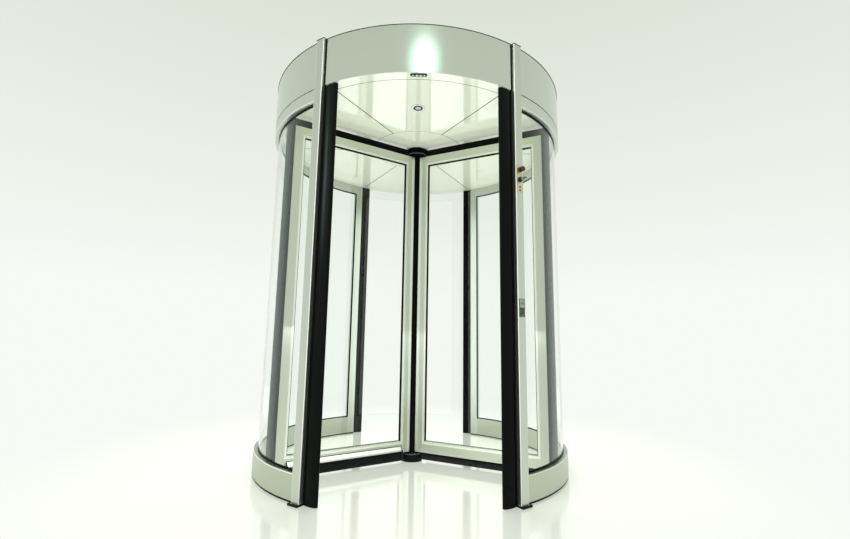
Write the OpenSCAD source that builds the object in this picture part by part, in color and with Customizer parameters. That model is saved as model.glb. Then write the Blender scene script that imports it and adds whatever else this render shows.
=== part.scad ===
// Three-wing revolving door, millimetres, +Z up.
// The origin is the middle of the drum at floor level; the front opening faces -Y.
// Angles of static pieces are measured at the axis from the middle of an opening.

/* [Drum] */
// Outer radius of the header panels and of the curved base rails
drum_r = 1100; // [950:10:1500]
// Clear height from the floor to the ceiling
clear_h = 2390; // [2200:10:2800]
// Height of the header above the ceiling
header_h = 310; // [220:10:500]
// Angle between the middle of an opening and each post
post_a = 33; // [30:0.5:38]
// Radial depth of the curved rails
rail_t = 44; // [36:1:60]
// Height of the top edge of the base rails
base_h = 150; // [90:5:250]
// Height of the curved rails over the wall glass
top_rail_h = 83; // [60:1:120]
// Height of the dark seam between the top rails and the header
seam_h = 7; // [3:1:12]
// How far that seam is set back behind the outer radius of the drum
seam_set = 6; // [4:0.5:10]
// Thickness of the dark strip that fills the seam
seam_strip_t = 2; // [1:0.5:3]
// Fitting gap between the top rails and the ceiling
neck_gap = 0.5; // [0.2:0.1:2]
// Radius of the rounded edges of the curved rails
rail_edge = 5; // [2:0.5:8]
// Height of the dark seals under the base rails and of the foot plates
plinth_h = 12; // [8:1:20]

/* [Wall glass] */
// Thickness of the curved wall glass
wall_glass_t = 10; // [6:1:14]
// Thickness of the gasket on each side of the glass
gasket_t = 2; // [1:0.5:4]
// Thickness of the rail wall on the inner side of the glass
rail_lip = 3; // [2:0.5:6]
// How deep the glass edge sits in the rails and posts
glass_bite = 20; // [10:1:26]
// How far the gasket shows beyond the rails and posts
gasket_show = 10; // [4:1:16]

/* [Posts] */
// Width of the face of a post
post_w = 60; // [50:1:90]
// How far the posts stand out beyond the drum
post_out = 20; // [8:1:40]
// Wall thickness of a post
post_wall = 4; // [2.5:0.5:6]
// Radius of the outer edges of a post
post_edge = 4; // [1:0.5:8]
// How far a foot plate reaches out of a post's face and past its side
foot_out = 12; // [4:1:25]
// Width of the black reveal between a front post and the header panel
reveal_w = 12; // [6:1:20]
// How far the reveal lies behind the outer radius of the drum
reveal_set = 9; // [4:1:20]

/* [Finger guards] */
// Width of the soft guard beside each opening, without its reveal
guard_w = 79; // [60:1:100]
// Radius of the rounded free edge of a guard
guard_r = 13; // [10:0.5:15]
// How far the free edge of a guard leans in towards the drum's middle
guard_lean = 6; // [4:1:18]
// Gap between the guards and the floor
guard_gap = 3; // [2:1:10]

/* [Header] */
// Thickness of the curved header panels
panel_t = 4; // [2:0.5:6]
// Thickness of the ceiling panels
ceiling_t = 12; // [8:1:20]
// Width of the white ring around the ceiling, out to the face of the header
ring_w = 71; // [56:1:150]
// Radius of the round middle panel of the ceiling
disc_r = 356; // [200:1:500]
// Width of the seams between ceiling panels
ceiling_seam = 4; // [1:0.5:6]
// Height of the ledges that carry the ceiling panels
ledge_h = 8; // [5:1:12]
// How far the ledges reach over the ceiling panels
ledge_w = 25; // [15:1:40]
// Thickness of the roof cover
roof_t = 6; // [3:0.5:10]
// How far the roof cover laps over the header panels and posts
roof_lip = 2; // [1:0.5:6]
// Width of the beam that carries the bearing
beam_w = 140; // [130:5:220]
// Height of the beam
beam_h = 120; // [80:5:160]

/* [Turning part] */
// Angle that the wings have turned past their middle position at rest
park_a = 2; // [-4:0.5:4]
// Clearance between the wing seals and the walls
run_gap = 6; // [5:0.5:12]
// Radius of the centre shaft
shaft_r = 41; // [38:0.5:60]
// Radius of the top journal of the shaft
journal_r = 30; // [20:0.5:32]
// Running clearance of the top journal and of the floor pivot
journal_fit = 0.05; // [0.02:0.01:0.1]
// Radius of the hub under the ceiling
top_hub_r = 90; // [75:1:120]
// Height of the hub under the ceiling
top_hub_h = 54; // [30:1:70]
// Radius of the hub over the floor
floor_hub_r = 76; // [65:1:110]
// Height of the hub over the floor
floor_hub_h = 48; // [30:1:52]
// Height of the floor plate under the hub
floor_plate_h = 9; // [6:0.5:9]
// Radius of the floor pivot
pivot_r = 18; // [12:0.5:24]
// Width of the bevel round both hubs
hub_bevel = 5; // [2:0.5:8]
// Width of the raised collar round the shaft on both hubs
hub_collar = 18; // [8:1:24]
// Height of that collar
hub_step = 7; // [3:1:10]
// Gap between the turning part and the ceiling
hub_gap = 6; // [5:0.5:10]
// Gap between the wing seals and the ceiling
seal_top_gap = 10; // [10:0.5:25]
// Gap between the wing seals and the floor
seal_floor_gap = 13; // [6:0.5:20]

/* [Wings] */
// Thickness of a wing's frame
wing_t = 44; // [36:1:56]
// Distance from the axis to the inner edge of a wing's frame
wing_start = 35; // [32:0.5:38]
// Width of the frame beside the shaft, bead included
inner_stile = 73; // [55:1:110]
// Width of the frame beside the wall, bead included
outer_stile = 70; // [50:1:110]
// Width of the frame at the top, bead included
wing_top = 70; // [50:1:110]
// Width of the frame at the bottom, bead included
wing_bottom = 75; // [70:1:120]
// Width of the set-back glazing bead
bead_w = 14; // [8:1:20]
// How far the bead is set back from the face of the frame
bead_set = 5; // [2:0.5:8]
// Width of the slope from the face of the frame down to the bead
bead_slope = 2; // [1:0.5:4]
// Radius of the long edges of a wing's frame
wing_edge = 2; // [1:0.5:4]
// Width and depth of the joint lines between a wing's stiles and its top and bottom rails
joint_w = 0.8; // [0.4:0.1:1.5]
// Thickness of the wing glass
wing_glass_t = 8; // [6:1:12]
// How deep the wing glass sits in the frame
wing_bite = 10; // [6:1:14]
// Height of the black seal over a wing
seal_top_h = 60; // [30:1:70]
// Height of the black seal under a wing
seal_bottom_h = 54; // [40:1:70]
// Width of the black seal at the outer edge of a wing
seal_side_w = 50; // [30:1:70]
// Thickness of the part of a seal that sits on the frame
seal_root_t = 28; // [16:1:34]
// Width of the part of a seal that sits on the frame
seal_root_w = 16; // [8:1:20]
// Thickness of the free lip of a seal
seal_lip_t = 10; // [4:1:14]

/* [Safety strips] */
// Height of the soft strip on the leading face of a wing
strip_h = 62; // [40:1:64]
// How far the strip stands out of the wing's face
strip_out = 32; // [20:1:50]
// Height of the metal rail over the strip
strip_rail_h = 29; // [15:1:40]
// How far the metal rail stands out of the wing's face
strip_rail_out = 16; // [8:1:20]
// Distance of the strip from the edges of the wing's frame
strip_inset = 74; // [40:1:120]
// Thickness of the caps on the ends of the strip and its rail
strip_cap = 5; // [2:0.5:10]

/* [Controls] */
// Height of the lower edge of the control plate
plate_z = 1742; // [1200:1:1800]
// Height of the control plate
plate_h = 167; // [140:1:200]
// Width of the control plate and of the button plate
plate_w = 46; // [36:1:48]
// Thickness of the control plate
plate_t = 2; // [1:0.5:4]
// Radius of the corners of the control plate and of the button plate
plate_corner = 3; // [1:0.5:6]
// Radius of the two round windows under the key switch
window_r = 5; // [3:0.5:7]
// Height of the lower window above the plate's lower edge
window_up = 11; // [9:1:14]
// Distance between the middles of the two windows
window_pitch = 21; // [16:1:24]
// Height of the stop button above the plate's lower edge
stop_up = 137; // [125:1:137]
// Height of the key switch above the plate's lower edge
key_up = 77; // [60:1:80]
// Radius of the stop button's head
stop_r = 16; // [12:0.5:20]
// Thickness of the stop button's head
stop_head = 13; // [8:0.5:18]
// Height of the collars of the stop button and the key switch
collar_h = 12; // [8:0.5:16]
// Free length between the stop button's collar and head
stop_neck = 9; // [9:0.5:14]
// Radius of the stop button's stem
stem_r = 8; // [5:0.5:10]
// Running clearance of the stop button and the key switch
control_fit = 0.05; // [0.02:0.01:0.1]
// Length of the key outside its lock
key_out = 30; // [20:1:40]
// Width of the key's bow
key_w = 20; // [14:1:26]
// Height of the lower edge of the button plate
button_z = 1008; // [800:1:1200]
// Height of the button plate
button_h = 104; // [80:1:140]

/* [Sensors] */
// Radius at which the round ceiling sensors sit
sensor_at = 696; // [500:1:900]
// Radius of the flange of a round sensor
sensor_r = 46; // [35:1:60]
// Radius of the lens of a round sensor
lens_r = 32; // [20:1:34]
// How far the round sensors hang below the ceiling
sensor_drop = 4.5; // [3:0.5:5]
// Length of the oval sensors over the openings
oval_w = 110; // [80:1:140]
// Radial width of the oval sensors over the openings
oval_d = 34; // [28:1:38]
// How far the oval sensors sit outside the inner radius of the rails
oval_set = 6; // [4:0.5:6]
// How far the oval sensors hang below the ceiling
oval_drop = 9; // [6:0.5:12]
// Width and thickness of the lip round an oval sensor
oval_lip = 3; // [2:0.5:4]

/* [Hidden] */
$fn = 240;

in_r = drum_r - rail_t;
pocket_r = in_r + rail_lip;
wall_glass_r = pocket_r + gasket_t;
pocket_t = wall_glass_t + 2 * gasket_t;
glass_z0 = base_h - glass_bite;
rail_z0 = clear_h - top_rail_h;
glass_z1 = rail_z0 + glass_bite;
post_x = drum_r + post_out;
total_h = clear_h + header_h;
roof_z = total_h - roof_t;
reveal_x = drum_r - reveal_set;
neck_r = drum_r - seam_set - seam_strip_t;
ring_r = drum_r - ring_w;
ledge_z = clear_h + ceiling_t;
beam_z = ledge_z + ledge_h;
hub_z = clear_h - hub_gap - top_hub_h;
floor_hub_z = floor_plate_h + 5;
shaft_z0 = floor_hub_z + floor_hub_h;
wing_tip = in_r - run_gap;
wing_end = wing_tip - seal_side_w;
seal_z1 = clear_h - seal_top_gap;
wing_z1 = seal_z1 - seal_top_h;
wing_z0 = seal_floor_gap + seal_bottom_h;
sight_x0 = wing_start + inner_stile;
sight_x1 = wing_end - outer_stile;
sight_z0 = wing_z0 + wing_bottom;
sight_z1 = wing_z1 - wing_top;
bead_x0 = sight_x0 - bead_w;
bead_x1 = sight_x1 + bead_w;
bead_z0 = sight_z0 - bead_w;
bead_z1 = sight_z1 + bead_w;
plate_x = post_x + plate_t;
lock_r = stem_r + 1;
bearing_r = 2 * journal_r;
flange_h = 15;
strip_z1 = seal_floor_gap + 3 + strip_h;
strip_x0 = wing_start + strip_inset;
strip_x1 = wing_end - strip_inset;
side_a = 180 - post_a;
rear_a = 90 + park_a;
left_a = rear_a + 120;
right_a = rear_a + 240;
big = 4 * drum_r;

// A stretch of a ring between two angles from the front axis
module band(r0, r1, z0, z1, a0, a1) {
    rotate([0, 0, a0 - 90])
        rotate_extrude(angle = a1 - a0)
            translate([r0, z0]) square([r1 - r0, z1 - z0]);
}

module ring(r0, r1, z0, z1) {
    translate([0, 0, z0])
        difference() {
            cylinder(r = r1, h = z1 - z0);
            translate([0, 0, -1]) cylinder(r = r0, h = z1 - z0 + 2);
        }
}

// A box given by its low and high corners
module block(low, high) {
    translate(low) cube(high - low);
}

// A rectangle whose corners on the +X side are rounded
module soft_face(x0, x1, w, r) {
    translate([x0, -w / 2]) square([x1 - r - x0, w]);
    translate([x0, r - w / 2]) square([x1 - x0, w - 2 * r]);
    for (s = [-1, 1])
        translate([x1 - r, s * (w / 2 - r)]) circle(r = r, $fn = 24);
}

// A rectangle with four rounded corners
module soft_slab(x0, x1, w, r) {
    translate([x0, r - w / 2]) square([x1 - x0, w - 2 * r]);
    translate([x0 + r, -w / 2]) square([x1 - x0 - 2 * r, w]);
    for (x = [x0 + r, x1 - r], y = [r - w / 2, w / 2 - r])
        translate([x, y]) circle(r = r, $fn = 24);
}

// Local frame of the front right post: +X runs outward, -Y towards the opening
module on_post() {
    rotate([0, 0, post_a - 90]) children();
}

module each_side() {
    children();
    mirror([1, 0, 0]) children();
}

module each_corner() {
    each_side() children();
    mirror([0, 1, 0]) each_side() children();
}

// Both posts of the right-hand wall
module wall_posts() {
    on_post() children();
    mirror([0, 1, 0]) on_post() children();
}

// What is cut off the end of a wall piece that reaches into a post by a depth
module wall_end(depth) {
    wall_posts()
        block([in_r - 200, -2 * guard_w - post_w, -1], [post_x + 200, post_w / 2 - depth, total_h + 1]);
}

// Room that the glass and its gasket take in the rails and posts
module pocket() {
    difference() {
        band(pocket_r, pocket_r + pocket_t, glass_z0 - gasket_t, glass_z1 + gasket_t, post_a, side_a);
        wall_end(glass_bite - 8 + gasket_t);
    }
}

module wall_glass() {
    difference() {
        band(wall_glass_r, wall_glass_r + wall_glass_t, glass_z0, glass_z1, post_a, side_a);
        wall_end(glass_bite - 8);
    }
}

module wall_gasket() {
    difference() {
        pocket();
        wall_glass();
        difference() {
            band(in_r - 10, drum_r, base_h + gasket_show, rail_z0 - gasket_show, post_a, side_a);
            wall_end(-gasket_show);
        }
    }
}

// The dark strip in the seam between a top rail and the header
module seam_strip() {
    difference() {
        band(neck_r, neck_r + seam_strip_t, clear_h - seam_h, clear_h - neck_gap, post_a, side_a);
        wall_end(0);
    }
}

module post() {
    difference() {
        on_post()
            translate([0, 0, plinth_h])
                linear_extrude(roof_z - plinth_h)
                    difference() {
                        soft_face(in_r, post_x, post_w, post_edge);
                        translate([in_r + post_wall, post_wall - post_w / 2])
                            square([post_x - in_r - 2 * post_wall, post_w - post_wall - glass_bite]);
                    }
        pocket();
    }
}

module foot_plate() {
    on_post()
        block([in_r, -post_w / 2, 0], [post_x + foot_out, post_w / 2 + foot_out, plinth_h]);
}

// Black carrier beside the post and the soft rubber guard that it holds
module finger_guard() {
    root = -post_w / 2;
    on_post() {
        block([in_r + 6, root - reveal_w, guard_gap], [reveal_x, root, roof_z]);
        translate([0, 0, guard_gap])
            linear_extrude(clear_h - 2 - guard_gap)
                guard_outline(root - reveal_w);
    }
}

module guard_outline(y0) {
    tip_x = reveal_x + 3 - guard_lean - guard_r;
    hull() {
        translate([in_r + 6, y0 - 1]) square([reveal_x - in_r - 6, 1]);
        translate([reveal_x + 2 - guard_r, y0 - guard_w * 0.36]) circle(r = guard_r + 1, $fn = 40);
        translate([tip_x, y0 - guard_w + guard_r]) circle(r = guard_r, $fn = 40);
    }
}

module base_profile() {
    translate([in_r, plinth_h]) square([rail_t - rail_edge, base_h - plinth_h]);
    translate([in_r, plinth_h]) square([rail_t, base_h - plinth_h - rail_edge]);
    translate([drum_r - rail_edge, base_h - rail_edge]) circle(r = rail_edge, $fn = 24);
}

module top_profile() {
    rail_z1 = clear_h - seam_h;
    translate([in_r, rail_z0]) square([rail_t - rail_edge, rail_z1 - rail_z0]);
    translate([in_r, rail_z0 + rail_edge]) square([rail_t, rail_z1 - rail_z0 - rail_edge]);
    translate([drum_r - rail_edge, rail_z0 + rail_edge]) circle(r = rail_edge, $fn = 24);
    translate([in_r, rail_z1]) square([neck_r - in_r, seam_h - neck_gap]);
}

// A curved rail of the right-hand wall, cut to fit between its posts
module wall_rail() {
    difference() {
        rotate([0, 0, post_a - 90])
            rotate_extrude(angle = side_a - post_a) children();
        wall_end(0);
        pocket();
    }
}

module floor_seal() {
    difference() {
        band(in_r + 4, drum_r - 3, 0, plinth_h, post_a, side_a);
        wall_posts()
            block([in_r - 200, -post_w, -1], [post_x + 200, post_w / 2 + foot_out, plinth_h + 1]);
    }
}

module header_panel(a0, a1) {
    difference() {
        band(drum_r - panel_t, drum_r, clear_h, roof_z, a0, a1);
        each_corner() header_notch();
    }
}

// Space of a post and its reveal, which the header's own parts leave free
module header_notch() {
    on_post()
        block([in_r, -post_w / 2 - reveal_w, clear_h - 1], [post_x + 50, post_w / 2, total_h + 1]);
}

module ceiling_ring() {
    difference() {
        union() {
            ring(ring_r, drum_r - panel_t, clear_h, ledge_z);
            ring(ring_r - ledge_w, drum_r - panel_t, ledge_z, beam_z);
        }
        each_corner() header_notch();
    }
}

module ceiling_panels() {
    difference() {
        ring(disc_r + ceiling_seam, ring_r - ceiling_seam, clear_h, ledge_z);
        for (a = [30 : 60 : 150])
            rotate([0, 0, a - 90])
                block([-big, -ceiling_seam / 2, clear_h - 1], [big, ceiling_seam / 2, ledge_z + 1]);
    }
}

module ceiling_disc() {
    difference() {
        union() {
            translate([0, 0, clear_h]) cylinder(r = disc_r, h = ceiling_t);
            translate([0, 0, ledge_z]) cylinder(r = disc_r + ledge_w, h = ledge_h);
        }
        translate([0, 0, clear_h - 1]) cylinder(r = journal_r + 20, h = ceiling_t + ledge_h + 2);
    }
}

module header_beam() {
    half = ring_r + 10;
    difference() {
        block([-half, -beam_w / 2, beam_z], [half, beam_w / 2, beam_z + beam_h]);
        translate([0, 0, beam_z - 1]) cylinder(r = bearing_r, h = beam_h + 2);
    }
}

module top_bearing() {
    difference() {
        union() {
            translate([0, 0, beam_z]) cylinder(r = bearing_r, h = beam_h);
            translate([0, 0, beam_z + beam_h]) cylinder(r = bearing_r + 30, h = flange_h);
        }
        translate([0, 0, beam_z - 1]) cylinder(r = journal_r + journal_fit, h = beam_h + flange_h + 2);
    }
}

module roof_cover() {
    translate([0, 0, roof_z])
        linear_extrude(roof_t) {
            circle(r = drum_r + roof_lip);
            each_corner()
                on_post() soft_face(in_r, post_x + roof_lip, post_w + 2 * roof_lip, post_edge);
        }
}

module floor_plate() {
    cylinder(r = floor_hub_r, h = floor_plate_h);
    translate([0, 0, floor_plate_h - 1]) cylinder(r = pivot_r, h = 36);
}

module sensors() {
    for (s = [0, 180])
        rotate([0, 0, s]) {
            translate([0, -sensor_at, clear_h - sensor_drop]) {
                translate([0, 0, sensor_drop / 2]) cylinder(r = sensor_r, h = sensor_drop / 2);
                cylinder(r = lens_r, h = sensor_drop);
            }
            oval_sensor();
        }
}

// A body in a thin lip, over an opening
module oval_sensor() {
    translate([0, -(in_r + oval_set + oval_d / 2), 0]) {
        translate([0, 0, clear_h - oval_lip]) linear_extrude(oval_lip) oval(oval_w, oval_d);
        translate([0, 0, clear_h - oval_drop])
            linear_extrude(oval_drop) oval(oval_w - 2 * oval_lip, oval_d - 2 * oval_lip);
    }
}

module oval(length, width) {
    reach = (length - width) / 2;
    for (x = [-reach, reach])
        translate([x, 0]) circle(r = width / 2);
    translate([-reach, -width / 2]) square([2 * reach, width]);
}

// A cylinder that stands out of the front right post's face at a height
module peg(r, x0, x1, z) {
    on_post()
        translate([x0, 0, z]) rotate([0, 90, 0]) cylinder(r = r, h = x1 - x0);
}

// A plate with rounded corners that lies on the front right post's face, or stands out of it by x0
module plate(x0, t, w, z0, z1) {
    on_post()
        translate([post_x + x0, 0, 0])
            rotate([0, 90, 0]) linear_extrude(t) soft_slab(-z1, -z0, w, plate_corner);
}

module control_plate() {
    difference() {
        union() {
            plate(0, plate_t, plate_w, plate_z, plate_z + plate_h);
            peg(stem_r + 5.5, plate_x - 1, plate_x + collar_h, plate_z + stop_up);
            peg(lock_r + 5, plate_x - 1, plate_x + collar_h - 2, plate_z + key_up);
        }
        peg(stem_r + control_fit, post_x - 1, plate_x + collar_h + 1, plate_z + stop_up);
        peg(lock_r + control_fit, post_x - 1, plate_x + collar_h + 1, plate_z + key_up);
        for (z = [window_up, window_up + window_pitch])
            peg(window_r, post_x - 1, plate_x + 1, plate_z + z);
    }
}

// A thin plate whose lower half carries a raised push button
module button_plate() {
    border = 3;
    face_w = plate_w - 2 * border;
    middle = button_z + button_h / 2;
    plate(0, 1.5, face_w, button_z, button_z + button_h);
    plate(1, 2, face_w - 2 * border, button_z + border, middle - border);
}

// A mushroom head on its stem, turned about the stem's axis
module stop_button() {
    head_x = plate_x + collar_h + stop_neck;
    stem_x = post_x + 5;
    dome_r = 1.6 * stop_r;
    on_post()
        translate([stem_x, 0, plate_z + stop_up])
            rotate([0, 90, 0])
                rotate_extrude() {
                    square([stem_r, head_x - stem_x + 1]);
                    translate([0, head_x - stem_x])
                        intersection() {
                            square([stop_r, stop_head]);
                            translate([0, stop_head - dome_r]) circle(r = dome_r);
                        }
                }
}

module key() {
    lock_x = plate_x + collar_h + 8;
    peg(lock_r, post_x + 1, lock_x, plate_z + key_up);
    on_post()
        translate([lock_x, 0, plate_z + key_up - 1.25]) {
            block([-1, -4, 0], [key_out - key_w + 3, 4, 2.5]);
            translate([key_out - key_w / 2, 0, 0])
                difference() {
                    cylinder(r = key_w / 2, h = 2.5);
                    translate([key_w / 5, 0, -1]) cylinder(r = key_w / 8, h = 5);
                }
        }
}

// Local frame of a wing: +X runs outward, +Y is the leading face
module on_wing(a) {
    rotate([0, 0, a]) children();
}

module centre_shaft() {
    difference() {
        translate([0, 0, shaft_z0]) cylinder(r = shaft_r, h = hub_z - shaft_z0);
        for (a = [rear_a, left_a, right_a])
            on_wing(a)
                block([wing_start, -wing_t / 2, wing_z0], [2 * shaft_r, wing_t / 2, wing_z1]);
    }
    translate([0, 0, hub_z - 1]) cylinder(r = journal_r, h = beam_z + beam_h + flange_h + 20 - hub_z);
}

// Half of the outline of a bevelled hub with a collar on its free end, which lies at y = h
module hub_outline(r0, r1, h) {
    face = h - hub_step;
    collar_r = min(shaft_r + hub_collar, r1 - hub_bevel - 2);
    polygon([[r0, 0], [r1, 0], [r1, face - hub_bevel], [r1 - hub_bevel, face],
        [collar_r, face], [collar_r, h], [r0, h]]);
}

module top_hub() {
    translate([0, 0, hub_z + top_hub_h])
        mirror([0, 0, 1]) rotate_extrude() hub_outline(journal_r, top_hub_r, top_hub_h);
}

module floor_hub() {
    difference() {
        translate([0, 0, floor_hub_z]) rotate_extrude() hub_outline(0, floor_hub_r, floor_hub_h);
        translate([0, 0, floor_hub_z - 1]) cylinder(r = pivot_r + journal_fit, h = floor_hub_h - 5);
    }
}

module wing_frame() {
    difference() {
        translate([0, 0, wing_z0])
            linear_extrude(wing_z1 - wing_z0) soft_slab(wing_start, wing_end, wing_t, wing_edge);
        block([sight_x0, -wing_t, sight_z0], [sight_x1, wing_t, sight_z1]);
        for (s = [0, 1])
            mirror([0, s, 0]) {
                bead_step();
                joint_lines();
            }
        wing_glass();
    }
    strip_rail();
}

// The sloped step from the frame's face down to the bead, all round the glass
module bead_step() {
    intersection() {
        translate([0, 0, bead_z0])
            linear_extrude(bead_z1 - bead_z0) step_section(bead_x0, bead_x1);
        translate([bead_x1, 0, 0])
            rotate([0, -90, 0]) linear_extrude(bead_x1 - bead_x0) step_section(bead_z0, bead_z1);
    }
}

module step_section(a0, a1) {
    face = wing_t / 2;
    polygon([[a0, face + 1], [a0, face], [a0 + bead_slope, face - bead_set],
        [a1 - bead_slope, face - bead_set], [a1, face], [a1, face + 1]]);
}

// The joints at which the top and bottom rails meet the stiles
module joint_lines() {
    face = wing_t / 2;
    for (x = [bead_x0, bead_x1 - joint_w]) {
        block([x, face - joint_w, wing_z0 - 1], [x + joint_w, face + 1, bead_z0 + joint_w]);
        block([x, face - joint_w, bead_z1 - joint_w], [x + joint_w, face + 1, wing_z1 + 1]);
    }
}

module wing_glass() {
    block([sight_x0 - wing_bite, -wing_glass_t / 2, sight_z0 - wing_bite],
        [sight_x1 + wing_bite, wing_glass_t / 2, sight_z1 + wing_bite]);
}

// Seal along the top, the outer edge and the bottom of a wing
module wing_seal() {
    difference() {
        union() {
            seal_part(seal_root_t / 2, seal_root_w, seal_root_w, seal_root_w);
            seal_part(seal_lip_t / 2, seal_side_w, seal_top_h, seal_bottom_h);
        }
        block([0, -wing_t, wing_z0], [wing_end, wing_t, wing_z1]);
        translate([0, 0, wing_z1 - 1]) cylinder(r = shaft_r, h = seal_top_h + 2);
        translate([0, 0, hub_z]) cylinder(r = top_hub_r, h = top_hub_h + hub_gap);
        cylinder(r = floor_hub_r, h = shaft_z0);
        translate([0, 0, shaft_z0 - 1]) cylinder(r = shaft_r, h = seal_bottom_h);
    }
}

module seal_part(half_t, side, top, bottom) {
    block([shaft_r - 10, -half_t, wing_z0 - bottom], [wing_end + side, half_t, wing_z1 + top]);
}

// Pieces of the safety strip are drawn across it and run along the wing between two distances
module along_wing(x0, x1, z) {
    translate([x0, wing_t / 2, z])
        rotate([90, 0, 90]) linear_extrude(x1 - x0) children();
}

module rail_outline(x0, y0) {
    polygon([[x0, y0], [strip_rail_out, y0], [strip_rail_out, strip_rail_h * 0.45],
        [3, strip_rail_h], [x0, strip_rail_h]]);
}

module strip_outline() {
    nose = min(strip_out, strip_h) / 2;
    square([strip_out - nose, strip_h]);
    translate([0, nose]) square([strip_out, strip_h - 2 * nose]);
    for (z = [nose, strip_h - nose])
        translate([strip_out - nose, z]) circle(r = nose);
}

module strip_rail() {
    along_wing(strip_x0, strip_x1, strip_z1) rail_outline(-1, 0);
}

// The soft strip, and the caps on its ends that also cover the ends of the rail
module wing_strip() {
    along_wing(strip_x0, strip_x1, strip_z1 - strip_h) strip_outline();
    for (x = [strip_x0 - strip_cap, strip_x1])
        along_wing(x, x + strip_cap, strip_z1 - strip_h) {
            strip_outline();
            translate([0, strip_h]) rail_outline(0, -strip_h / 2);
        }
}

module mirrored_x() {
    mirror([1, 0, 0]) children();
}

module post_front_right() { color("silver") post(); }
module post_front_left() { color("silver") mirrored_x() post(); }
module post_rear_right() { color("silver") mirror([0, 1, 0]) post(); }
module post_rear_left() { color("silver") mirror([0, 1, 0]) mirrored_x() post(); }
module foot_plates() { color("black") each_corner() foot_plate(); }
module finger_guards() { color("black") each_corner() finger_guard(); }
module base_rail_right() { color("silver") wall_rail() base_profile(); }
module base_rail_left() { color("silver") mirrored_x() wall_rail() base_profile(); }
module floor_seals() { color("black") each_side() floor_seal(); }
module wall_glass_right() { color("lightgreen", 0.3) wall_glass(); }
module wall_glass_left() { color("lightgreen", 0.3) mirrored_x() wall_glass(); }
module wall_gaskets() {
    color("black")
        each_side() {
            wall_gasket();
            seam_strip();
        }
}
module top_rail_right() { color("silver") wall_rail() top_profile(); }
module top_rail_left() { color("silver") mirrored_x() wall_rail() top_profile(); }
module header_panel_front() { color("silver") header_panel(-post_a, post_a); }
module header_panel_rear() { color("silver") mirror([0, 1, 0]) header_panel(-post_a, post_a); }
module header_panel_right() { color("silver") header_panel(post_a, side_a); }
module header_panel_left() { color("silver") mirrored_x() header_panel(post_a, side_a); }

post_front_left();
post_front_right();
post_rear_left();
post_rear_right();
foot_plates();
finger_guards();
base_rail_left();
base_rail_right();
floor_seals();
wall_glass_left();
wall_glass_right();
wall_gaskets();
top_rail_left();
top_rail_right();
header_panel_front();
header_panel_rear();
header_panel_left();
header_panel_right();
color("white") ceiling_ring();
color("white") ceiling_panels();
color("white") ceiling_disc();
color("gray") header_beam();
color("gray") top_bearing();
color("dimgray") roof_cover();
color("black") floor_plate();
color("white") sensors();
color("goldenrod") control_plate();
color("darkgreen") button_plate();
color("red") stop_button();
color("black") key();
color("black") centre_shaft();
color("black") top_hub();
color("black") floor_hub();
color("silver") on_wing(left_a) wing_frame();  // left_wing_frame
color("lightgreen", 0.3) on_wing(left_a) wing_glass();  // left_wing_glass
color("black") on_wing(left_a) wing_seal();  // left_wing_seal
color("black") on_wing(left_a) wing_strip();  // left_wing_strip
color("silver") on_wing(right_a) wing_frame();  // right_wing_frame
color("lightgreen", 0.3) on_wing(right_a) wing_glass();  // right_wing_glass
color("black") on_wing(right_a) wing_seal();  // right_wing_seal
color("black") on_wing(right_a) wing_strip();  // right_wing_strip
color("silver") on_wing(rear_a) wing_frame();  // rear_wing_frame
color("lightgreen", 0.3) on_wing(rear_a) wing_glass();  // rear_wing_glass
color("black") on_wing(rear_a) wing_seal();  // rear_wing_seal
color("black") on_wing(rear_a) wing_strip();  // rear_wing_strip
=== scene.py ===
import math

import bmesh
import bpy
from mathutils import Matrix, Vector


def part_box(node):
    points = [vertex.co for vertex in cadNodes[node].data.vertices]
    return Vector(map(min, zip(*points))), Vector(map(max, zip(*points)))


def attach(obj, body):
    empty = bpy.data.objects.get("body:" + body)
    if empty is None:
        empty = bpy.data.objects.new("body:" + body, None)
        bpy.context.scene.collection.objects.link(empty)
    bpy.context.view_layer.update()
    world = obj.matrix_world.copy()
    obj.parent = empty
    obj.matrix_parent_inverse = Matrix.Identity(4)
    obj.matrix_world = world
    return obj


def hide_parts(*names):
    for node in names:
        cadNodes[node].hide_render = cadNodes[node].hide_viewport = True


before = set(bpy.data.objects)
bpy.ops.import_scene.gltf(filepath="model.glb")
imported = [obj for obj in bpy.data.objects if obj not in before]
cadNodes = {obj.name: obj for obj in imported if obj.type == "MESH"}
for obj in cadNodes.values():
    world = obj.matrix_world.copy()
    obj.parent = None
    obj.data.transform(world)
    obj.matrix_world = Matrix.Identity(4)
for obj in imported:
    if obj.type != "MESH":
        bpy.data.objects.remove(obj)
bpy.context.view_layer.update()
scene = bpy.context.scene
scene.view_settings.view_transform = "Standard"
print("frame loaded")

door = {
    "postAngle": math.radians(33),  # from the middle of an opening to each post
    "wings": ("left", "right", "rear"),
    "corners": {"front_right": (1, 1), "front_left": (-1, 1), "rear_right": (1, -1), "rear_left": (-1, -1)},
    "ceiling": 2.390,
}


# Camera, where the photographer stood

view = {
    "place": (0.0024, -3.4614, 0.8788),
    "turn": math.radians(1.235),  # to the right of straight ahead
    "tilt": math.radians(8.813),
    "roll": math.radians(0.878),
    "lens": 18.93,
    "sensor": 36,
}


def setCamera():
    data = bpy.data.cameras.new("camera")
    data.sensor_width = view["sensor"]
    data.lens = view["lens"]
    camera = bpy.data.objects.new("camera", data)
    camera.matrix_world = (
        Matrix.Translation(view["place"])
        @ Matrix.Rotation(-view["turn"], 4, "Z")
        @ Matrix.Rotation(math.pi / 2 + view["tilt"], 4, "X")
        @ Matrix.Rotation(view["roll"], 4, "Z")
    )
    scene.collection.objects.link(camera)
    scene.camera = camera


setCamera()


# Frames in which the pieces are modelled

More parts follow.
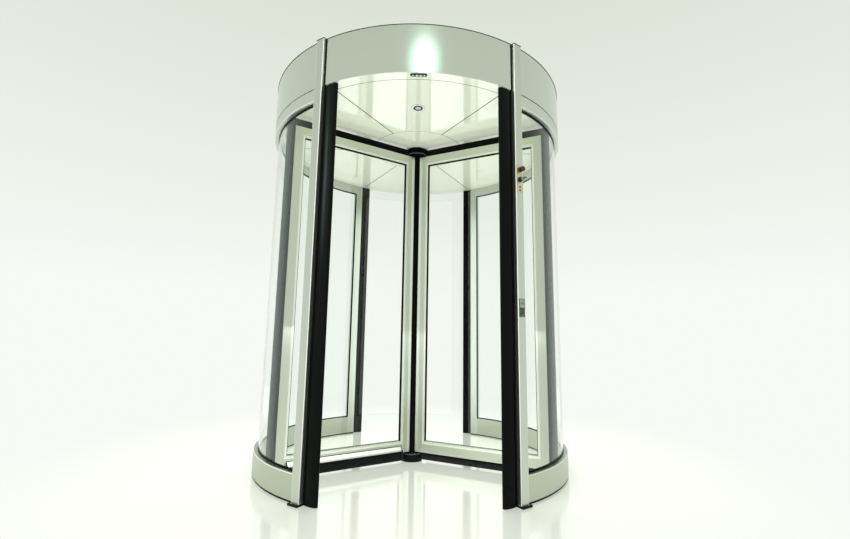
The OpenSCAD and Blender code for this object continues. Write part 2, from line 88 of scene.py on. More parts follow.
def cornerPlace(corner):
    # +X runs outward through the post, -Y towards the opening
    across, along = door["corners"][corner]
    return Matrix.Diagonal((across, along, 1, 1)) @ Matrix.Rotation(door["postAngle"] - math.pi / 2, 4, "Z")


def nodePoints(name):
    return [v.co for v in cadNodes[name].data.vertices]


def cornerPoints(name, corner):
    across, along = door["corners"][corner]
    return [p for p in nodePoints(name) if p.x * across > 0 > p.y * along]


def boxOf(points, place):
    back = place.inverted()
    local = [back @ p for p in points]
    low = Vector([min(p[i] for p in local) for i in range(3)])
    high = Vector([max(p[i] for p in local) for i in range(3)])
    return low, high


def wingAngle(wing):
    points = nodePoints(wing + "_wing_glass")
    middle = sum(points, Vector()) / len(points)
    return math.atan2(middle.y, middle.x)


wingTurns = {wing: wingAngle(wing) for wing in door["wings"]}
# +X runs outward along the wing, +Y is its leading face
wingPlaces = {wing: Matrix.Rotation(turn, 4, "Z") for wing, turn in wingTurns.items()}
frontRight = cornerPlace("front_right")


# Mesh tools

def roundOff(bm, geom, offset, segments, affect="EDGES"):
    bmesh.ops.bevel(bm, geom=geom, offset=offset, offset_type="OFFSET", segments=segments, profile=0.5,
                    affect=affect, material=-1)


def raiseFaces(bm, before, shift):
    # gives thickness to the faces that weren't there before
    made = bmesh.ops.extrude_face_region(bm, geom=[f for f in bm.faces if f not in before])
    verts = [g for g in made["geom"] if isinstance(g, bmesh.types.BMVert)]
    bmesh.ops.translate(bm, verts=verts, vec=shift)
    return set(verts)


def settle(bm, before, place):
    # moves the verts that weren't there before to their place
    verts = [v for v in bm.verts if v not in before]
    bmesh.ops.transform(bm, matrix=place, verts=verts)
    return verts


def prism(bm, corners, low, high, place=Matrix(), steps=4, rim=0.0, rimSteps=2):
    # corners are x, y and how far along its edges each one is rounded off
    oldVerts, oldFaces, oldEdges = set(bm.verts), set(bm.faces), set(bm.edges)
    ends = [bm.verts.new((x, y, low)) for x, y, cut in corners]
    bm.faces.new(ends)
    for end, (x, y, cut) in zip(ends, corners):
        if cut:
            roundOff(bm, [end], cut, steps, "VERTICES")
    top = raiseFaces(bm, oldFaces, (0, 0, high - low))
    if rim:
        edges = [e for e in bm.edges if e not in oldEdges and top.issuperset(e.verts)]
        roundOff(bm, edges, rim, rimSteps)
    return settle(bm, oldVerts, place)


def slab(bm, x0, x1, y0, y1, low, high, place=Matrix(), cut=0.0, steps=4, rim=0.0):
    corners = [(x0, y0, cut), (x1, y0, cut), (x1, y1, cut), (x0, y1, cut)]
    return prism(bm, corners, low, high, place, steps, rim)


def lathe(bm, points, place=Matrix(), steps=48, closed=False):
    # points are radius and height, turned about the local Z axis
    before = set(bm.verts)
    chain = [bm.verts.new((r, 0, z)) for r, z in points]
    pairs = list(zip(chain, chain[1:])) + ([(chain[-1], chain[0])] if closed else [])
    edges = [bm.edges.new(pair) for pair in pairs]
    bmesh.ops.spin(bm, geom=chain + edges, cent=(0, 0, 0), axis=(0, 0, 1), angle=2 * math.pi, steps=steps,
                   use_merge=True)
    bmesh.ops.remove_doubles(bm, verts=[v for v in bm.verts if v not in before], dist=1e-6)
    return settle(bm, before, place)


def ringPlate(bm, x0, x1, y0, y1, width, low, high, place, rim):
    # a rectangular ring, width wide inwards from its outer edge
    oldVerts, oldFaces, oldEdges = set(bm.verts), set(bm.faces), set(bm.edges)
    face = bm.faces.new([bm.verts.new((x, y, low)) for x, y in ((x0, y0), (x1, y0), (x1, y1), (x0, y1))])
    face.normal_update()
    bmesh.ops.inset_region(bm, faces=[face], thickness=width, use_boundary=True, use_even_offset=True)
    bmesh.ops.delete(bm, geom=[face], context="FACES_ONLY")
    raiseFaces(bm, oldFaces, (0, 0, high - low))
    edges = [e for e in bm.edges if e not in oldEdges and len(e.link_faces) == 2
             and all(abs(v.co.z - high) < 1e-7 for v in e.verts)
             and abs(e.link_faces[0].normal.z - e.link_faces[1].normal.z) > 0.5]
    roundOff(bm, edges, rim, 2)
    settle(bm, oldVerts, place)


# shares of a screw head's radius and height
screwShape = ((0, 0), (1, 0), (1, 0.6), (0.82, 1), (0.5, 1), (0.45, 0.35), (0, 0.35))


def screwHead(bm, place, radius, height):
    # a round head with a socket, standing on z = 0
    lathe(bm, [(radius * r, height * z) for r, z in screwShape], place, 16)


def makePiece(name, bm, body, slot, *materials, sharp=35, parts=()):
    # parts are the verts that each material covers, in turn
    for index, verts in enumerate(parts):
        chosen = set(verts)
        for face in bm.faces:
            if all(v in chosen for v in face.verts):
                face.material_index = index
    bmesh.ops.recalc_face_normals(bm, faces=bm.faces)
    mesh = bpy.data.meshes.new(name)
    bm.to_mesh(mesh)
    bm.free()
    mesh.shade_smooth()
    mesh.set_sharp_from_angle(angle=math.radians(sharp))
    for material in materials:
        mesh.materials.append(material)
    piece = bpy.data.objects.new(name, mesh)
    scene.collection.objects.link(piece)
    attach(piece, body)
    return piece


# Shader nodes, and the groups that the materials share

def isSocket(value):
    return isinstance(value, bpy.types.NodeSocket)


def fill(node, inputs):
    # an input gets a value, or a link from a socket
    for name, value in inputs.items():
        if isSocket(value):
            node.id_data.links.new(value, node.inputs[name])
        else:
            node.inputs[name].default_value = value


def addNode(tree, kind, inputs=None, **settings):
    node = tree.nodes.new("ShaderNode" + kind)
    for key, value in settings.items():
        setattr(node, key, value)
    fill(node, inputs or {})
    return node


def onFrom(kind, inputs, **settings):
    # a node in the tree that its inputs come from
    tree = next(value.id_data for value in inputs.values() if isSocket(value))
    return addNode(tree, kind, inputs, **settings).outputs


def beside(socket, kind):
    # a node without inputs, in the tree that the socket is in
    return addNode(socket.id_data, kind).outputs


def maths(operation, *terms):
    return onFrom("Math", dict(enumerate(terms)), operation=operation)[0]


def vectors(operation, *terms, out=0):
    return onFrom("VectorMath", dict(enumerate(terms)), operation=operation)[out]


def ranged(source, low, high, start=0.0, end=1.0, curve="LINEAR"):
    # low to high becomes start to end
    inputs = {"Value": source, "From Min": low, "From Max": high, "To Min": start, "To Max": end}
    return onFrom("MapRange", inputs, interpolation_type=curve)[0]


def noisy(place, scale, detail=2.0, rough=0.5, distortion=0.0):
    return onFrom("TexNoise", {"Vector": place, "Scale": scale, "Detail": detail, "Roughness": rough,
                               "Distortion": distortion})["Fac"]


def apart(vector):
    return onFrom("SeparateXYZ", {0: vector})


def fineGrain(given):
    # lines left by drawing or brushing, long where Direction is small
    noise = noisy(vectors("MULTIPLY", given["Vector"], given["Direction"]), 1.0, 3.0, 0.6)
    centred = maths("SUBTRACT", noise, 0.5)
    return [maths("MULTIPLY_ADD", centred, given["Contrast"], 1.0), noise]


def cloudTone(given):
    # broad, faint differences of tone over a surface
    centred = maths("SUBTRACT", noisy(given["Vector"], given["Frequency"], 4.0, 0.55), 0.5)
    return [maths("MULTIPLY_ADD", centred, given["Strength"], 1.0)]


def nearFloor(given):
    # dust that shoes and mops leave up to a height above the floor
    up = ranged(apart(given["Vector"])["Z"], 0.0, given["Height"], 1.0, 0.0, "SMOOTHSTEP")
    patchy = ranged(noisy(given["Vector"], 38.0, 5.0, 0.65), 0.36, 0.68)
    return [maths("MULTIPLY", maths("MULTIPLY", up, patchy), given["Strength"])]


def edgeWearAndHighlight(given):
    # the narrow band beside an edge, made brighter: partly wear, partly a painted highlight
    rounded = onFrom("Bevel", {"Radius": given["Radius"]}, samples=4)[0]
    bent = vectors("DOT_PRODUCT", rounded, beside(rounded, "NewGeometry")["Normal"], out="Value")
    return [maths("MULTIPLY", ranged(bent, 0.99, 0.8), given["Strength"])]


def roundedHighlight(given):
    # painted highlight on the rounded edges of the drum's rails and posts, by how far the surface turns from
    # all their faces
    outward = vectors("NORMALIZE", vectors("MULTIPLY", given["Vector"], (1, 1, 0)))
    normal = beside(outward, "TexCoord")["Normal"]
    turns = [vectors("DOT_PRODUCT", normal, way, out="Value") for way in (outward, (0, 0, 1))]
    squares = [maths("POWER", turn, 2.0) for turn in turns]
    sideways = maths("SUBTRACT", 1.0, maths("ADD", *squares))
    most = maths("MAXIMUM", maths("MAXIMUM", *squares), sideways)
    return [maths("MULTIPLY", ranged(most, 0.997, 0.94), given["Strength"])]


def scuffs(given):
    # short slanting scratches
    thin = []
    for turn, scale in (((0.3, 0.5, 0.9), (14, 14, 420)), ((-0.4, 0.2, -0.7), (16, 16, 360))):
        turned = onFrom("Mapping", {"Vector": given["Vector"], "Rotation": turn, "Scale": scale})[0]
        thin.append(ranged(noisy(turned, 1.0), 0.68, 0.76))
    return [maths("MULTIPLY", maths("MAXIMUM", *thin), given["Amount"])]


def settledDust(given):
    # dust that lies on what faces upwards
    upward = ranged(apart(beside(given["Vector"], "NewGeometry")["Normal"])["Z"], 0.6, 0.95)
    patchy = ranged(noisy(given["Vector"], 9.0, 6.0, 0.7), 0.3, 0.7)
    return [maths("MULTIPLY", maths("MULTIPLY", upward, patchy), given["Amount"])]


def newGroup(name, build, outputs, inputs):
    group = bpy.data.node_groups.new(name, "ShaderNodeTree")
    for title, value in inputs.items():
        kind = "NodeSocketVector" if isinstance(value, tuple) else "NodeSocketFloat"
        group.interface.new_socket(name=title, in_out="INPUT", socket_type=kind).default_value = value
    for title in outputs:
        group.interface.new_socket(name=title, in_out="OUTPUT", socket_type="NodeSocketFloat")
    made = build(group.nodes.new("NodeGroupInput").outputs)
    fill(group.nodes.new("NodeGroupOutput"), dict(zip(outputs, made)))
    return group


anywhere = (0.0, 0.0, 0.0)
groups = {name: newGroup(name, *parts) for name, parts in {
    "fineGrain": (fineGrain, ("Tone", "Height"),
                  {"Vector": anywhere, "Direction": (300, 300, 5), "Contrast": 0.1}),
    "cloudTone": (cloudTone, ("Tone",), {"Vector": anywhere, "Frequency": 2.0, "Strength": 0.1}),
    "nearFloor": (nearFloor, ("Mask",), {"Vector": anywhere, "Height": 0.15, "Strength": 0.5}),
    "edgeWearAndHighlight": (edgeWearAndHighlight, ("Mask",), {"Radius": 0.002, "Strength": 1.0}),
    "roundedHighlight": (roundedHighlight, ("Mask",), {"Vector": anywhere, "Strength": 1.0}),
    "scuffs": (scuffs, ("Mask",), {"Vector": anywhere, "Amount": 0.5}),
    "settledDust": (settledDust, ("Mask",), {"Vector": anywhere, "Amount": 0.5}),
}.items()}


def useGroup(place, name, **inputs):
    node = addNode(place.id_data, "Group", inputs, node_tree=groups[name])
    if "Vector" in node.inputs:
        fill(node, {"Vector": place})
    return node.outputs


def startMaterial(name, colour, rough, metallic=0.0, turn=0.0):
    # the material, its shader and the Object coordinates, turned onto a wing's own axes if asked
    material = bpy.data.materials.new(name)
    material.use_nodes = True
    tree = material.node_tree
    shader = tree.nodes["Principled BSDF"]
    fill(shader, {"Base Color": (*colour, 1), "Roughness": rough, "Metallic": metallic})
    place = addNode(tree, "TexCoord").outputs["Object"]
    if turn:
        place = onFrom("Mapping", {"Vector": place, "Rotation": (0, 0, -turn)})[0]
    return material, shader, place


def mixColour(first, second, share):
    # first and second are colours or sockets
    first, second = ((*each, 1) if isinstance(each, tuple) else each for each in (first, second))
    return onFrom("Mix", {0: share, 6: first, 7: second}, data_type="RGBA")[2]


def mixShaders(output, share, first, second):
    mix = onFrom("MixShader", {"Fac": share, 1: first, 2: second})
    fill(share.id_data.nodes[output], {"Surface": mix[0]})


def toned(colour, *tones):
    # a colour times one or more tones near 1
    for tone in tones:
        colour = onFrom("VectorMath", {0: colour, "Scale": tone}, operation="SCALE")[0]
    return colour


def eitherGrain(share, grains):
    # the tones and heights of two grains, the second where share is 1
    return [onFrom("Mix", {0: share, 2: grains[0][out], 3: grains[1][out]})[0] for out in ("Tone", "Height")]


def varied(value, source, low, high):
    # a number that runs from value + low to value + high with a mask or tone
    return ranged(source, 0.0, 1.0, value + low, value + high)


def bumpFrom(height, strength, distance):
    return onFrom("Bump", {"Height": height, "Strength": strength, "Distance": distance})[0]


# Satin anodised aluminium

silver = {
    "colour": (0.62, 0.67, 0.595),
    # post, base and wing tones: lit and shaded copies of the same aluminium, painted light and shade
    "post": (0.585, 0.63, 0.55),
    "base": (0.50, 0.54, 0.44),  # the base rails: the same aluminium, darker as painted shade
    "wing": (0.64, 0.69, 0.575),
    "bead": (0.93, 0.96, 0.86),  # the set-back glazing bead, painted lighter as a highlight
    "shaftHighlight": (0.90, 0.94, 0.84),  # a painted highlight on a stile beside the shaft
    # the safety rail's slope painted near white: a painted highlight
    "litSafetyRail": (0.95, 0.97, 0.92),
    "groove": (0.07, 0.10, 0.07),  # painted shade of the gap over the safety rail
    # colour of the painted highlight along the edges
    "edge": (0.96, 0.98, 0.92),
    "dust": (0.44, 0.46, 0.38),
    "rough": 0.36,
    "along": 4.0,  # grain lines per metre along and across the metal's drawing direction
    "across": 420.0,
}


def paintWing(base, x, y, z):
    # the bead lies behind the frame's face, and the safety rail stands before it
    depth = maths("ABSOLUTE", y)
    # the bead painted lighter: a painted highlight
    base = mixColour(base, silver["bead"], ranged(depth, *wing["beadDepth"]))
    # a painted highlight on the stile beside the shaft
    base = mixColour(base, silver["shaftHighlight"], ranged(x, *wing["band"]))
    # the safety rail's slope painted near white: a painted highlight
    base = mixColour(base, silver["litSafetyRail"], ranged(depth, *wing["railDepth"]))
    # the painted shade line over the safety rail is on the leading face only
    first, last, over, soft = stripBox[0].x, stripBox[1].x, stripBox[1].z, wing["grooveSoft"]
    groove = ranged(y, *wing["grooveDepth"])
    limits = [(x, first, first + soft), (x, last, last - soft)]
    for start, end in wing["grooveEdges"]:
        limits.append((z, over + start, over + end))
    for limit in limits:
        groove = maths("MULTIPLY", groove, ranged(*limit))
    return mixColour(base, silver["groove"], groove)


def makeSilver(name, upright=True, turn=None, rough=0.0, rim=0.0045, base="colour", rounded=0.95):
    material, shader, place = startMaterial(name, silver[base], silver["rough"], 1.0, turn or 0.0)
    a, c = silver["along"], silver["across"]
    ways = [(c, c, a), (a, a, c)]
    if turn is None:
        ways = ways[:1] if upright else ways[1:]
    grains = [useGroup(place, "fineGrain", Direction=way, Contrast=0.08) for way in ways]
    base = silver[base]
    # painted highlight along the edges
    edges = useGroup(place, "edgeWearAndHighlight", Radius=rim, Strength=0.9)["Mask"]
    if turn is None:
        tone, height = grains[0]
        # painted highlight on the rounded edges
        turned = useGroup(place, "roundedHighlight", Strength=rounded)["Mask"]
        edges = maths("MAXIMUM", edges, turned)
    else:
        # rails run between the stiles
        x, y, z = apart(place)
        isRail = maths("GREATER_THAN", x, wing["railFrom"])
        isRail = maths("MULTIPLY", isRail, maths("LESS_THAN", x, wing["railTo"]))
        tone, height = eitherGrain(isRail, grains)
        base = paintWing(base, x, y, z)
    cloud = useGroup(place, "cloudTone", Frequency=1.7, Strength=0.06)["Tone"]
    low = useGroup(place, "nearFloor", Height=0.14, Strength=0.16)["Mask"]
    scuffed = useGroup(place, "scuffs", Amount=0.22)["Mask"]
    colour = mixColour(toned(base, tone, cloud), silver["edge"], edges)
    grainy = maths("MULTIPLY_ADD", height, 0.25, maths("ADD", scuffed, low))
    fill(shader, {
        "Base Color": mixColour(colour, silver["dust"], low),
        "Metallic": varied(1.0, edges, 0.0, -0.75),  # painted highlight: the edges stay bright from every side
        "Roughness": varied(silver["rough"] + rough, grainy, -0.03, 0.22),
        "Normal": bumpFrom(height, 0.10, 0.0002),
    })
    return material


# White lacquer of the ceiling

white = {"colour": (0.90, 0.935, 0.79), "rough": 0.06, "edge": (0.93, 0.94, 0.88), "ior": 1.8}


def makeWhite():
    material, shader, place = startMaterial("ceilingLacquer", white["colour"], white["rough"])
    cloud = useGroup(place, "cloudTone", Frequency=1.3, Strength=0.05)["Tone"]
    # edges lighter: wear and a painted highlight
    rim = useGroup(place, "edgeWearAndHighlight", Radius=0.002, Strength=0.6)["Mask"]
    fill(shader, {
        "Specular IOR Level": 1.0,
        "IOR": white["ior"],
        "Base Color": mixColour(toned(white["colour"], cloud), white["edge"], rim),
        "Roughness": varied(white["rough"], noisy(place, 5.0, 5.0, 0.6), -0.03, 0.05),
        "Normal": bumpFrom(noisy(place, 260.0), 0.03, 0.0002),
    })
    return material


# Clear glass, faintly green

glassLook = {"colour": (0.965, 0.988, 0.972), "smear": 0.02}


def makeGlass(name, ior, tint):
    material, shader, place = startMaterial(name, glassLook["colour"], 0.0)
    wiped = noisy(place, 3.5, 6.0, 0.7, 0.6)
    cloud = useGroup(place, "cloudTone", Frequency=0.8, Strength=0.02)["Tone"]
    fill(shader, {
        "Transmission Weight": 1.0,
        "IOR": ior,
        "Specular Tint": (*tint, 1),
        "Base Color": toned(glassLook["colour"], cloud),
        "Roughness": ranged(wiped, 0.55, 0.8, 0.0, glassLook["smear"]),
    })
    clear = addNode(material.node_tree, "BsdfTransparent", {"Color": (*glassLook["colour"], 1)})
    shadow = beside(place, "LightPath")["Is Shadow Ray"]
    mixShaders("Material Output", shadow, shader.outputs[0], clear.outputs[0])
    return material


# Black finishes: rubber, brush, anodised metal and plastic

black = {
    "rubber": {"colour": (0.0036, 0.0048, 0.0040), "rough": 0.34, "dust": (0.030, 0.030, 0.026),
               "pores": 900.0, "bump": 0.10, "wearAndHighlight": (0.020, 0.024, 0.020), "shine": 0.045},
    "metal": {"colour": (0.0030, 0.0034, 0.0032), "rough": 0.38, "dust": (0.03, 0.03, 0.026), "pores": 1400.0,
              "bump": 0.04, "wearAndHighlight": (0.020, 0.022, 0.022), "shine": 0.02},
    # the hub's light edge colour paints glints on its rims
    "hub": {"colour": (0.0026, 0.0026, 0.0030), "rough": 0.22, "dust": (0.03, 0.03, 0.026), "pores": 1400.0,
            "bump": 0.03, "wearAndHighlight": (0.11, 0.115, 0.13), "shine": 0.03},
    "dusty": {"colour": (0.40, 0.44, 0.385), "rough": 0.60, "dust": (0.42, 0.45, 0.39), "pores": 900.0,
              "bump": 0.10, "wearAndHighlight": (0.46, 0.50, 0.44), "shine": 0.25},
    "plastic": {"colour": (0.009, 0.011, 0.009), "rough": 0.40, "dust": (0.06, 0.06, 0.05), "pores": 700.0,
                "bump": 0.15, "wearAndHighlight": (0.05, 0.055, 0.05), "shine": 0.06},
}


def makeBlack(name, kind, dustTo, edge, lines=None, rounded=0.0):
    look = black[kind]
    material, shader, place = startMaterial(name, look["colour"], look["rough"])
    pores = noisy(place, look["pores"])
    cloud = useGroup(place, "cloudTone", Frequency=3.0, Strength=0.35)["Tone"]
    low = useGroup(place, "nearFloor", Height=dustTo, Strength=0.22)["Mask"]
    lying = useGroup(place, "settledDust", Amount=0.3)["Mask"]
    # edges lighter: wear and a painted highlight
    rim = useGroup(place, "edgeWearAndHighlight", Radius=0.0015, Strength=edge)["Mask"]
    colour = mixColour(toned(look["colour"], cloud), look["wearAndHighlight"], rim)
    if rounded:
        # painted glints on the rounded edges
        turned = useGroup(place, "roundedHighlight", Strength=rounded)["Mask"]
        colour = mixColour(colour, look["wearAndHighlight"], turned)
    dust = maths("MAXIMUM", low, lying)
    matt = maths("MULTIPLY_ADD", pores, 0.3, dust)
    height = useGroup(place, "fineGrain", Direction=lines)["Height"] if lines else pores
    fill(shader, {
        "Specular IOR Level": look["shine"],
        "Base Color": mixColour(colour, look["dust"], dust),
        "Roughness": varied(look["rough"], matt, -0.05, 0.3),
        "Normal": bumpFrom(height, look["bump"], 0.0004),
    })
    return material


brush = {"colour": (0.0055, 0.0060, 0.0062), "outer": (0.010, 0.030, 0.022), "rough": 0.85, "hairs": 1300.0,
         "along": 25.0}


def makeBrush(name, turn):
    # hairs stand up and down over and under a wing, and outward at its outer edge
    material, shader, place = startMaterial(name, brush["colour"], brush["rough"], 0.0, turn)
    outward = maths("GREATER_THAN", apart(place)["X"], wing["frameTo"])
    many, few = brush["hairs"], brush["along"]
    tone, height = eitherGrain(outward, [
        useGroup(place, "fineGrain", Direction=way, Contrast=1.6)
        for way in ((many, many, few), (few, many, many))])
    cloud = useGroup(place, "cloudTone", Frequency=14.0, Strength=0.5)["Tone"]
    low = useGroup(place, "nearFloor", Height=0.06, Strength=0.6)["Mask"]
    colour = toned(mixColour(brush["colour"], brush["outer"], outward), tone, cloud)
    fill(shader, {
        "Specular IOR Level": 0.1,
        "Base Color": mixColour(colour, black["rubber"]["dust"], low),
        "Roughness": varied(brush["rough"], height, -0.1, 0.1),
        "Normal": bumpFrom(height, 0.6, 0.0008),
    })
    return material


# Metals of the small parts and of the hidden carrier

metals = {
    "screwSteel": {"colour": (0.55, 0.56, 0.55), "rough": 0.28, "wearAndHighlight": (0.85, 0.85, 0.84), "metallic": 1.0,
                   "grain": (500, 500, 500), "cloudy": 40.0},
    "beamSteel": {"colour": (0.55, 0.56, 0.55), "rough": 0.28, "wearAndHighlight": (0.85, 0.85, 0.84), "metallic": 1.0,
                  "grain": (6, 300, 300), "cloudy": 5.0, "dust": (0.30, 0.29, 0.26)},
    "plateBrass": {"colour": (0.62, 0.57, 0.36), "rough": 0.36, "wearAndHighlight": (0.82, 0.78, 0.58), "metallic": 0.85,
                   "grain": (500, 500, 12), "cloudy": 25.0},
}


def makeMetal(name):
    look = metals[name]
    material, shader, place = startMaterial(name, look["colour"], look["rough"], look["metallic"])
    tone, height = useGroup(place, "fineGrain", Direction=look["grain"], Contrast=0.35)
    cloud = useGroup(place, "cloudTone", Frequency=look["cloudy"], Strength=0.25)["Tone"]
    # edges lighter: wear and a painted highlight
    rim = useGroup(place, "edgeWearAndHighlight", Radius=0.001, Strength=0.7)["Mask"]
    colour = mixColour(toned(look["colour"], tone, cloud), look["wearAndHighlight"], rim)
    if "dust" in look:
        colour = mixColour(colour, look["dust"], useGroup(place, "settledDust", Amount=0.5)["Mask"])
    fill(shader, {
        "Base Color": colour,
        "Roughness": varied(look["rough"], height, -0.08, 0.14),
        "Normal": bumpFrom(height, 0.15, 0.0002),
    })
    return material


# Moulded plastics of the controls and sensors, and the sheet metal of the roof

plastics = {
    "sensorWhite": {"colour": (0.95, 0.96, 0.93), "rough": 0.15, "speckle": 0.03},
    "sensorLens": {"colour": (0.012, 0.014, 0.013), "rough": 0.06, "speckle": 0.2},
    "lensCentre": {"colour": (0.68, 0.70, 0.65), "rough": 0.12, "speckle": 0.1},
    "stopRed": {"colour": (0.055, 0.006, 0.008), "rough": 0.18, "speckle": 0.15},
    "keyBlack": {"colour": (0.006, 0.006, 0.006), "rough": 0.30, "speckle": 0.2},
    "buttonGreen": {"colour": (0.014, 0.050, 0.022), "rough": 0.25, "speckle": 0.15},
    "buttonBright": {"colour": (0.060, 0.22, 0.095), "rough": 0.22, "speckle": 0.1},
    "plateOlive": {"colour": (0.070, 0.078, 0.045), "rough": 0.35, "speckle": 0.2},
    "iconPale": {"colour": (0.42, 0.44, 0.39), "rough": 0.30, "speckle": 0.08},
}


def makePlastic(name):
    look = plastics[name]
    material, shader, place = startMaterial(name, look["colour"], look["rough"])
    cloud = useGroup(place, "cloudTone", Frequency=60.0, Strength=look["speckle"])["Tone"]
    # edges lighter: wear and a painted highlight
    rim = useGroup(place, "edgeWearAndHighlight", Radius=0.0008, Strength=0.35)["Mask"]
    light = tuple(min(1.0, c * 1.8 + 0.01) for c in look["colour"])
    pits = noisy(place, 1800.0)
    fill(shader, {
        "Base Color": mixColour(toned(look["colour"], cloud), light, rim),
        "Roughness": varied(look["rough"], pits, -0.03, 0.06),
        "Normal": bumpFrom(pits, 0.05, 0.0002),
    })
    return material


roofLook = {"colour": (0.018, 0.020, 0.018), "rough": 0.55, "edge": (0.05, 0.05, 0.05),
            "scuff": (0.16, 0.16, 0.15), "dust": (0.27, 0.265, 0.24)}


def makeRoofSheet():
    material, shader, place = startMaterial("roofSheet", roofLook["colour"], roofLook["rough"])
    cloud = useGroup(place, "cloudTone", Frequency=2.2, Strength=0.3)["Tone"]
    lying = useGroup(place, "settledDust", Amount=0.55)["Mask"]
    scuffed = useGroup(place, "scuffs", Amount=0.5)["Mask"]
    # edges lighter: wear and a painted highlight
    rim = useGroup(place, "edgeWearAndHighlight", Radius=0.0015, Strength=0.3)["Mask"]
    colour = toned(roofLook["colour"], cloud)
    for key, mask in (("edge", rim), ("scuff", scuffed), ("dust", lying)):
        colour = mixColour(colour, roofLook[key], mask)
    fill(shader, {
        "Specular IOR Level": 0.15,
        "Base Color": colour,
        "Roughness": varied(roofLook["rough"], lying, -0.08, 0.3),
        "Normal": bumpFrom(noisy(place, 450.0, 3.0), 0.2, 0.0004),
    })
    return material


# Sizes of a wing in its own frame, read from the model

glassBox, frameBox, sealBox, stripBox = (
    boxOf(nodePoints("left_wing_" + part), wingPlaces["left"])
    for part in ("glass", "frame", "seal", "strip"))
wing = {
    "bite": 0.010,  # how deep the glass sits in the frame
    "bead": 0.014,
    "glassFace": glassBox[1].y,
    "band": (0.059, 0.058),  # end of the painted highlight beside the shaft
    "frameTo": frameBox[1].x,
    "bottom": frameBox[0].z,
    "top": frameBox[1].z,
    "beadDepth": (0.0185, 0.0172),  # from the wing's middle plane, where the tones change
    "railDepth": (0.0222, 0.0226),
    "grooveDepth": (0.0205, 0.0210),
    "grooveEdges": ((-0.0002, 0.0002), (0.0064, 0.0058)),  # over the safety rail
    "grooveSoft": 0.0005,
}
wing["openFrom"], wing["openTo"] = glassBox[0].x + wing["bite"], glassBox[1].x - wing["bite"]
wing["openLow"], wing["openHigh"] = glassBox[0].z + wing["bite"], glassBox[1].z - wing["bite"]
wing["railFrom"], wing["railTo"] = wing["openFrom"] - wing["bead"], wing["openTo"] + wing["bead"]

silverUpright = makeSilver("satinSilverUpright", True, base="post")
silverCurved = makeSilver("satinSilverCurved", False, rounded=0.5)
silverBase = makeSilver("satinSilverBase", False, base="base")
silverHeader = makeSilver("satinSilverHeader", False, rough=-0.17, rim=0.003)
silverWing = {w: makeSilver("satinSilverWing_" + w, turn=turn, rim=0.004, base="wing")
              for w, turn in wingTurns.items()}
whiteLacquer = makeWhite()
wingGlass = makeGlass("clearGlass", 1.47, (1, 1, 1))
# the curved glass's reflections tinted green: a painted colour of what it mirrors
wallGlass = makeGlass("curvedGlass", 1.2, (0.62, 1.0, 0.80))
guardRubber = makeBlack("guardRubber", "rubber", 0.35, 0.25)
gasketRubber = makeBlack("gasketRubber", "rubber", 0.2, 0.3)
dustyRubber = makeBlack("dustyRubber", "dusty", 0.2, 0.3)
stripRubber = makeBlack("stripRubber", "rubber", 0.12, 0.4)
blackUpright = makeBlack("blackAnodised", "metal", 0.05, 0.3, lines=(600, 600, 6))
# the hub's edges painted light as glints
blackHub = makeBlack("blackHub", "hub", 0.03, 0.8, rounded=0.8)
blackPlastic = makeBlack("blackPlastic", "plastic", 0.08, 0.4)
brushes = {w: makeBrush("sealBrush_" + w, wingTurns[w]) for w in door["wings"]}
screwSteel, beamSteel, plateBrass = (makeMetal(name) for name in metals)
roofSheet = makeRoofSheet()
plastic = {name: makePlastic(name) for name in plastics}
print("materials made")


# CAD nodes that keep their shape

def dress(names, material):
    for name in names.split():
        node = cadNodes[name]
        node.data.materials.clear()
        node.data.materials.append(material)


dress("post_front_left post_front_right post_rear_left post_rear_right", silverUpright)
dress("base_rail_left base_rail_right", silverBase)
dress("top_rail_left top_rail_right", silverCurved)
dress("header_panel_front header_panel_rear header_panel_left header_panel_right", silverHeader)
dress("ceiling_ring ceiling_panels ceiling_disc", whiteLacquer)
dress("wall_glass_left wall_glass_right", wallGlass)
dress("left_wing_glass right_wing_glass rear_wing_glass", wingGlass)
dress("wall_gaskets floor_seals", gasketRubber)
dress("foot_plates floor_plate", blackPlastic)
dress("centre_shaft", blackUpright)
dress("top_hub floor_hub", blackHub)
dress("header_beam top_bearing", beamSteel)
dress("control_plate", plateBrass)
dress("button_plate", plastic["plateOlive"])
for w in door["wings"]:
    dress(w + "_wing_frame", silverWing[w])


# Finger guards: a soft rubber section pushed into a black carrier beside each post

guard = {
    "carrier": 0.0125,  # width of the carrier
    "inner": 0.009,  # from the guard's sides to the carrier's
    "outer": 0.003,
    "edge": 0.0006,  # how far the carrier's corners are cut
    "groove": 0.0016,
    "grooveEdge": 0.0004,
    "gap": 0.0022,  # dark line between carrier and rubber
    "stem": 0.007,  # how far the rubber's root is set back on each side
    "sunk": 0.001,  # how far it reaches into the carrier
    "shoulder": 0.003,
    "bulge": 0.030,  # from the carrier to the widest place
    "over": 0.0005,
    "crown": 0.014,
    "tip": 0.0125,
    "lean": 0.0065,  # how far the free edge lies behind the widest place
    "back": 0.0012,
    "topEdge": 0.0015,
}


